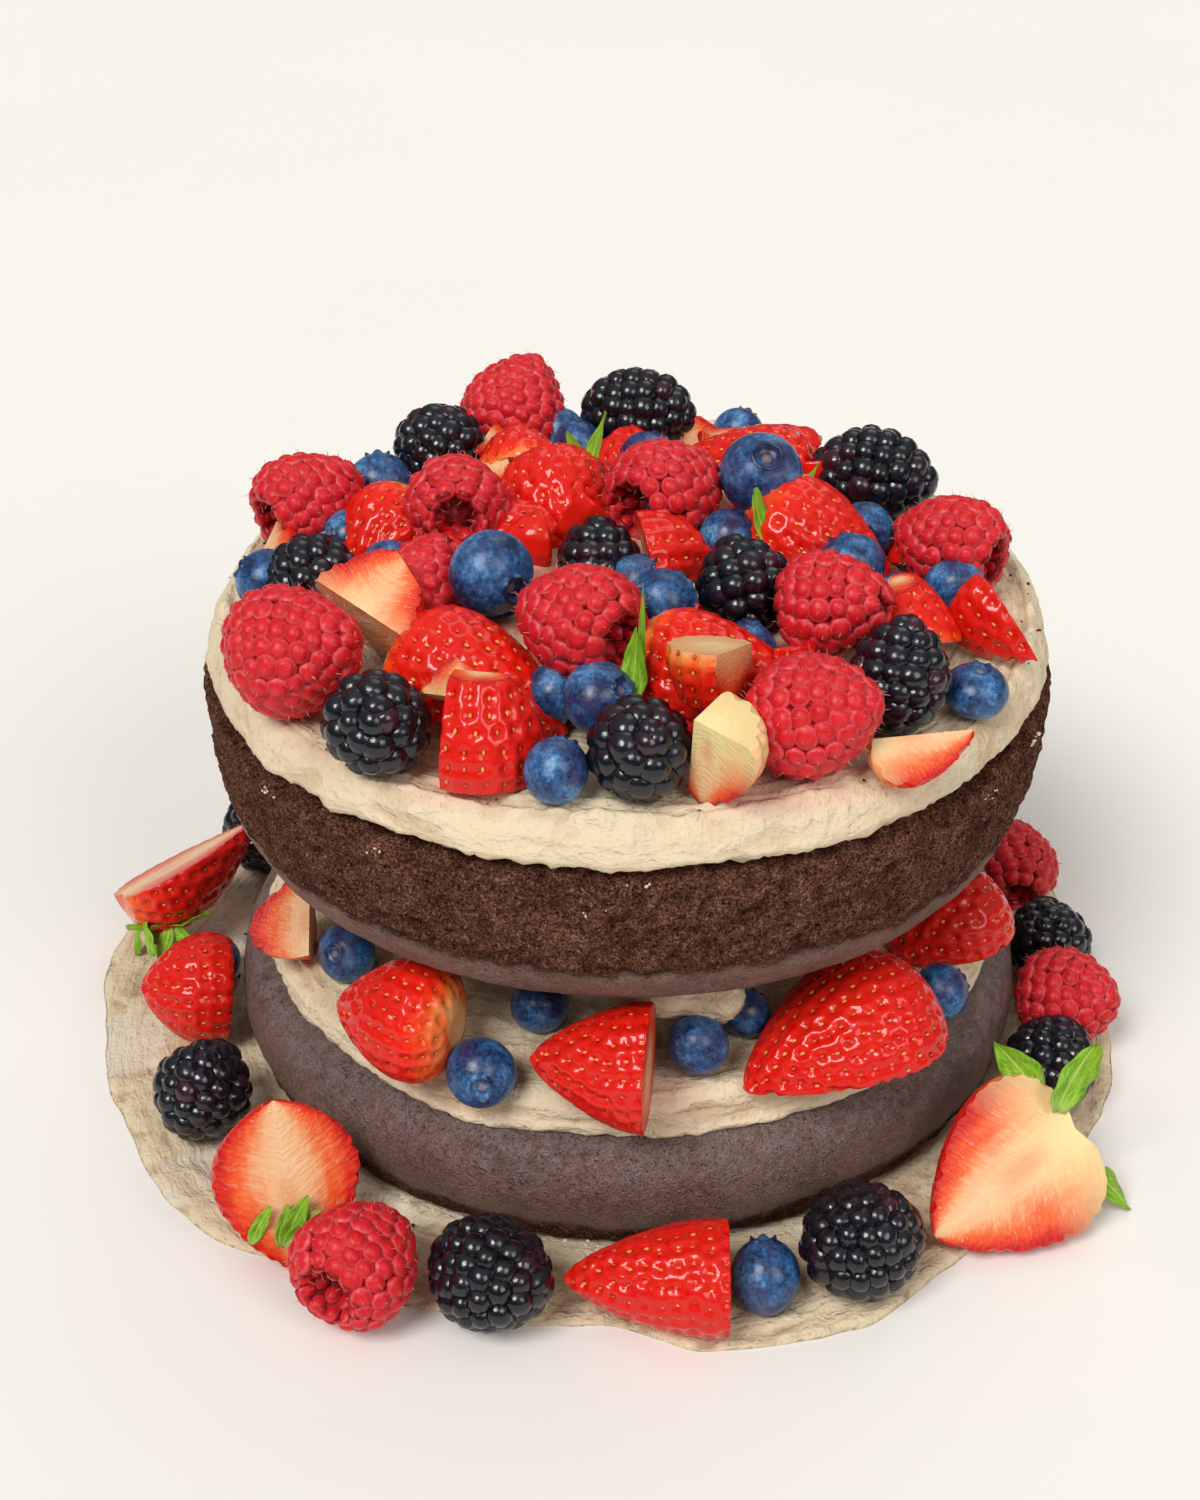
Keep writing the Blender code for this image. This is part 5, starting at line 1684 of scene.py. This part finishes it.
def blueberry_material():
    """Navy skin under an uneven pale blue bloom, darker and more purple at the crown."""
    paint = Paint("blueberry")
    where = paint.mark("own", "Vector")
    patches = paint.noise(where, 1.2, 5, 0.6)
    streaks = paint.noise(where, 8.0, 5, 0.7)
    bloom = paint.plus(paint.times(patches, 0.6), paint.times(streaks, 0.4))
    colour = paint.ramp(
        bloom,
        ((0.3, 16, 17, 40), (0.43, 26, 46, 86), (0.53, 46, 96, 148), (0.68, 120, 174, 216)),
    )
    purple = paint.span(paint.noise(where, 0.8, 2), 0.5, 0.66, 0.0, 0.7)
    colour = paint.mix(purple, colour, srgb(48, 22, 70))
    relief = paint.mark("relief")
    crown = paint.times(paint.span(relief, 0.0, 1.0), paint.span(relief, 1.0, 1.4, 1.0, 0.0))
    colour = paint.mix(paint.times(crown, 0.6), colour, srgb(22, 22, 42))
    scar = paint.span(relief, 1.3, 1.9, 0.0, 0.8)
    colour = paint.mix(scar, colour, srgb(150, 112, 100))
    level = paint.span(bloom, 0.4, 0.7, 0.26, 0.5)
    normal = paint.bump(paint.noise(paint.place(), 900, 3), 0.00015, 0.4)
    return paint.finish(colour, level, normal, Specular_IOR_Level=0.45)


def strawberry_material():
    """Glossy red skin, pale at the stem as far down as tone says, lighter round the seeds as a painted
    highlight on the pits' rims, and with painted shade in the pits' bottoms.
    """
    paint = Paint("strawberry")
    where = paint.place()
    parts = paint.split(paint.mark("own", "Vector"))
    share = parts["Z"]
    pale = paint.mark("tone")
    cloud = paint.noise(where, 160, 3)
    edge = paint.plus(share, paint.span(cloud, 0.3, 0.7, -0.08, 0.08))
    ripe = paint.minus(edge, pale)
    colour = paint.ramp(
        paint.span(ripe, -0.25, 0.32),
        ((0.0, 240, 208, 152), (0.24, 240, 158, 84), (0.4, 236, 80, 18), (0.6, 224, 14, 5),
         (1.0, 208, 2, 6)),
    )
    lighter = paint.span(paint.noise(where, 300, 4), 0.45, 0.75, 0.0, 0.3)
    colour = paint.mix(lighter, colour, srgb(232, 22, 10))
    pit = paint.mark("relief")
    # Painted highlight: a lighter orange ring on the walls and rims of the seed pits.
    ring = paint.times(paint.span(pit, 0.15, 0.42), paint.span(pit, 0.55, 0.7, 1.0, 0.0))
    colour = paint.mix(paint.times(ring, 0.16), colour, srgb(240, 74, 44))
    # Painted shade: darker red in the bottoms of the seed pits.
    colour = paint.mix(paint.span(pit, 0.6, 1.0, 0.0, 0.5), colour, srgb(132, 1, 2))
    normal = paint.bump(paint.noise(where, 800, 4), 0.0002, 0.35)
    return paint.finish(
        colour, 0.2, normal, Subsurface_Weight=0.03, Subsurface_Scale=0.001,
        Subsurface_Radius=(1.0, 0.2, 0.1), Coat_Weight=0.35, Coat_Roughness=0.05, Specular_IOR_Level=0.18,
    )


def flesh_material(name, fullness):
    """A strawberry's cut flesh: red under the skin, pale rays inwards, a pale core with a small hollow."""
    paint = Paint(name)
    own = paint.mark("own", "Vector")
    x, y, share = paint.split(own)
    across = paint.off_axis(x, y)
    bow = paint.times(paint.math("POWER", paint.larger(share, 0.001), fullness), math.pi)
    reach = paint.math("POWER", paint.larger(paint.math("SINE", bow), 0.001), STRAWBERRY_ROUNDNESS)
    outwards = paint.math("DIVIDE", across, paint.larger(reach, 0.05))
    slant = paint.join(paint.minus(share, paint.times(across, 0.22)), paint.times(outwards, 0.1))
    rays = paint.noise(slant, 34, 2)
    cloud = paint.noise(own, 4, 4)
    streaked = paint.plus(outwards, paint.span(rays, 0.3, 0.7, -0.1, 0.1))
    streaked = paint.plus(streaked, paint.span(cloud, 0.3, 0.7, -0.1, 0.1))
    colour = paint.ramp(
        streaked,
        ((0.0, 238, 196, 150), (0.3, 236, 178, 130), (0.46, 234, 142, 90),
         (0.6, 234, 100, 46), (0.76, 228, 66, 20), (0.9, 212, 34, 10), (1.0, 188, 10, 5)),
    )
    thread = paint.times(paint.span(rays, 0.56, 0.68, 0.0, 0.4), paint.span(outwards, 0.95, 0.7))
    colour = paint.mix(thread, colour, srgb(246, 206, 160))
    unripe = paint.span(paint.minus(share, paint.mark("tone")), -0.28, 0.14, 0.75, 0.0)
    colour = paint.mix(unripe, colour, srgb(236, 228, 164))
    middle = paint.span(outwards, 0.05, 0.2, 1.0, 0.0)
    along = paint.times(paint.span(share, 0.2, 0.34), paint.span(share, 0.46, 0.62, 1.0, 0.0))
    hollow = paint.times(paint.times(middle, along), 0.4)
    colour = paint.mix(hollow, colour, srgb(230, 112, 56))
    height = paint.minus(rays, paint.times(hollow, 2.0))
    normal = paint.bump(height, 0.0005, 0.6, paint.bump(paint.noise(own, 14, 4), 0.0004, 0.5))
    return paint.finish(
        colour, 0.36, normal, Subsurface_Weight=0.15, Subsurface_Scale=0.0015,
        Subsurface_Radius=(1.0, 0.35, 0.2), Coat_Weight=0.1, Coat_Roughness=0.2, Specular_IOR_Level=0.3,
    )


def seed_material():
    """Seeds from brown to yellow, as tone says."""
    paint = Paint("seed")
    colour = paint.ramp(
        paint.mark("tone"), ((0.0, 196, 60, 20), (0.5, 220, 112, 44), (1.0, 234, 164, 80)),
    )
    normal = paint.bump(paint.noise(paint.place(), 2500, 2), 0.0001, 0.4)
    return paint.finish(colour, 0.25, normal)


def leaf_material():
    """Bright green leaf with paler veins and a paler base."""
    paint = Paint("leaf")
    own = paint.mark("own", "Vector")
    along, sideways, _ = paint.split(own)
    across = paint.math("ABSOLUTE", sideways)
    slant = paint.minus(paint.times(along, 9.0), paint.times(across, 2.4))
    veins = paint.math("ABSOLUTE", paint.minus(paint.math("FRACT", slant), 0.5))
    side_vein = paint.span(veins, 0.0, 0.1, 0.5, 0.0)
    mid_vein = paint.span(across, 0.02, 0.12, 0.8, 0.0)
    vein = paint.larger(side_vein, mid_vein)
    cloud = paint.noise(own, 4, 4)
    colour = paint.ramp(
        cloud, ((0.3, 88, 142, 18), (0.5, 126, 180, 30), (0.7, 162, 206, 60)),
    )
    colour = paint.mix(vein, colour, srgb(192, 218, 104))
    colour = paint.mix(paint.span(along, 0.0, 0.25, 0.5, 0.0), colour, srgb(206, 222, 130))
    normal = paint.bump(paint.plus(vein, paint.noise(own, 20, 3)), 0.0003, 0.5)
    return paint.finish(
        colour, 0.42, normal, Subsurface_Weight=0.1, Subsurface_Scale=0.001, Specular_IOR_Level=0.35,
    )


def heap_core_material():
    """The mound of cream under the heap, stained by the fruit's juice."""
    paint = Paint("heap_core")
    where = paint.place()
    wide = paint.noise(where, 90, 4)
    grain = paint.noise(where, 600, 3)
    cream = paint.ramp(grain, ((0.3, 206, 180, 146), (0.7, 230, 212, 180)))
    juice = paint.ramp(wide, ((0.35, 150, 30, 40), (0.65, 206, 110, 100)))
    colour = paint.mix(paint.span(wide, 0.42, 0.6, 0.85, 0.1), cream, juice)
    normal = paint.bump(wide, 0.002, 0.7, paint.bump(grain, 0.0006, 0.5))
    return paint.finish(colour, 0.55, normal, Specular_IOR_Level=0.25)


def make_materials():
    """All the materials by name."""
    return {
        "crumb": sponge_material("crumb", 0.1),
        "crust": sponge_material("crust", 0.7),
        # Creams: their own colour, the colour of painted shade in their hollows, and the colour that tone
        # marks.
        "cream": cream_material("cream", (229, 211, 180), (208, 182, 150), (230, 184, 164)),
        "smear": cream_material("smear", (226, 207, 174), (194, 168, 134), (232, 222, 202)),
        "raspberry": raspberry_material(),
        "raspberry_inside": raspberry_inside_material(),
        "hair": hair_material(),
        "bramble": bramble_material(),
        "blueberry": blueberry_material(),
        "strawberry": strawberry_material(),
        "flesh": flesh_material("flesh", USUAL_FULLNESS),
        "flesh_blunt": flesh_material("flesh_blunt", BLUNT_FULLNESS),
        "seed": seed_material(),
        "leaf": leaf_material(),
        "heap_core": heap_core_material(),
    }


# Stage, light and camera

def make_floor():
    """The wide, pale floor."""
    mesh = bpy.data.meshes.new("floor")
    half = FLOOR_HALF
    corners = [(-half, -half, 0), (half, -half, 0), (half, half, 0), (-half, half, 0)]
    mesh.from_pydata(corners, [], [(0, 1, 2, 3)])
    paint = Paint("floor")
    colour = paint.ramp(paint.noise(paint.place(), 3), ((0.3, 235, 233, 228), (0.7, 237, 235, 230)))
    mesh.materials.append(paint.finish(colour, 0.9))
    floor = show("floor", mesh)


def make_sun(name, turn, lift, angle, power, colour):
    """A far, soft light from a direction given by its turn round the cake and its height, in degrees."""
    data = bpy.data.lights.new(name, "SUN")
    data.angle = math.radians(angle)
    data.energy = power
    data.color = colour
    turn, lift = math.radians(turn), math.radians(lift)
    aim = Vector((-math.cos(turn) * math.cos(lift), -math.sin(turn) * math.cos(lift), -math.sin(lift)))
    show(name, data).rotation_euler = aim.to_track_quat("-Z", "Y").to_euler()


def make_sky():
    """A pale sky, dark at the horizon and bright overhead."""
    world = bpy.data.worlds.new("studio")
    world.use_nodes = True
    tree = world.node_tree
    background = tree.nodes["Background"]
    background.inputs["Color"].default_value = srgb(250, 248, 243)
    where = tree.nodes.new("ShaderNodeTexCoord")
    parts = tree.nodes.new("ShaderNodeSeparateXYZ")
    level = tree.nodes.new("ShaderNodeMapRange")
    level.inputs["To Min"].default_value = SKY_AT_HORIZON
    level.inputs["To Max"].default_value = SKY_OVERHEAD
    tree.links.new(where.outputs["Generated"], parts.inputs[0])
    tree.links.new(parts.outputs["Z"], level.inputs["Value"])
    tree.links.new(level.outputs[0], background.inputs["Strength"])
    bpy.context.scene.world = world
    bpy.context.scene.view_settings.view_transform = "Standard"


def make_camera():
    """The camera in front of the cake, looking down at it."""
    data = bpy.data.cameras.new("camera")
    data.sensor_width = CAMERA_SENSOR
    data.lens = CAMERA_LENS
    data.shift_x = CAMERA_SHIFT_X
    data.shift_y = CAMERA_SHIFT_Y
    data.clip_start = CAMERA_CLIP
    camera = show("camera", data)
    down = math.radians(CAMERA_LOOKS_DOWN)
    height = CAMERA_TARGET_HEIGHT + CAMERA_DISTANCE * math.sin(down)
    camera.location = (0, -CAMERA_DISTANCE * math.cos(down), height)
    camera.rotation_euler = (math.pi / 2 - down, 0, 0)
    bpy.context.scene.camera = camera


def main():
    """Clears the scene, loads the CAD frame, and builds the looks on it, then stage, lights and camera."""
    for item in list(bpy.data.objects):
        bpy.data.objects.remove(item, do_unlink=True)
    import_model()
    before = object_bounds()
    limits = np.array([list(corner) for corner in before]) / MM
    materials = make_materials()
    make_foot_cream(materials["smear"])
    make_lower_sponge(materials)
    make_filling_cream(materials["cream"])
    make_cream_dollop(materials["cream"])
    make_upper_sponge(materials)
    make_top_cream(materials["cream"])
    make_heap_core(materials["heap_core"])
    make_heap_filler(materials)
    place_heap_fruit(materials, limits)
    place_leaves("heap_leaves", HEAP_LEAVES, materials["leaf"], "berry_heap")
    place_node_fruit(materials, limits)
    place_leaves("calyx_far_left", CALYX_FAR_LEFT, materials["leaf"], "foot_strawberry_far_left")
    place_leaves("calyx_front_left", CALYX_FRONT_LEFT, materials["leaf"], "foot_strawberry_front_left")
    make_crumbs(materials)
    make_floor()
    for sun in SUNS:
        make_sun(*sun)
    make_sky()
    make_camera()


main()
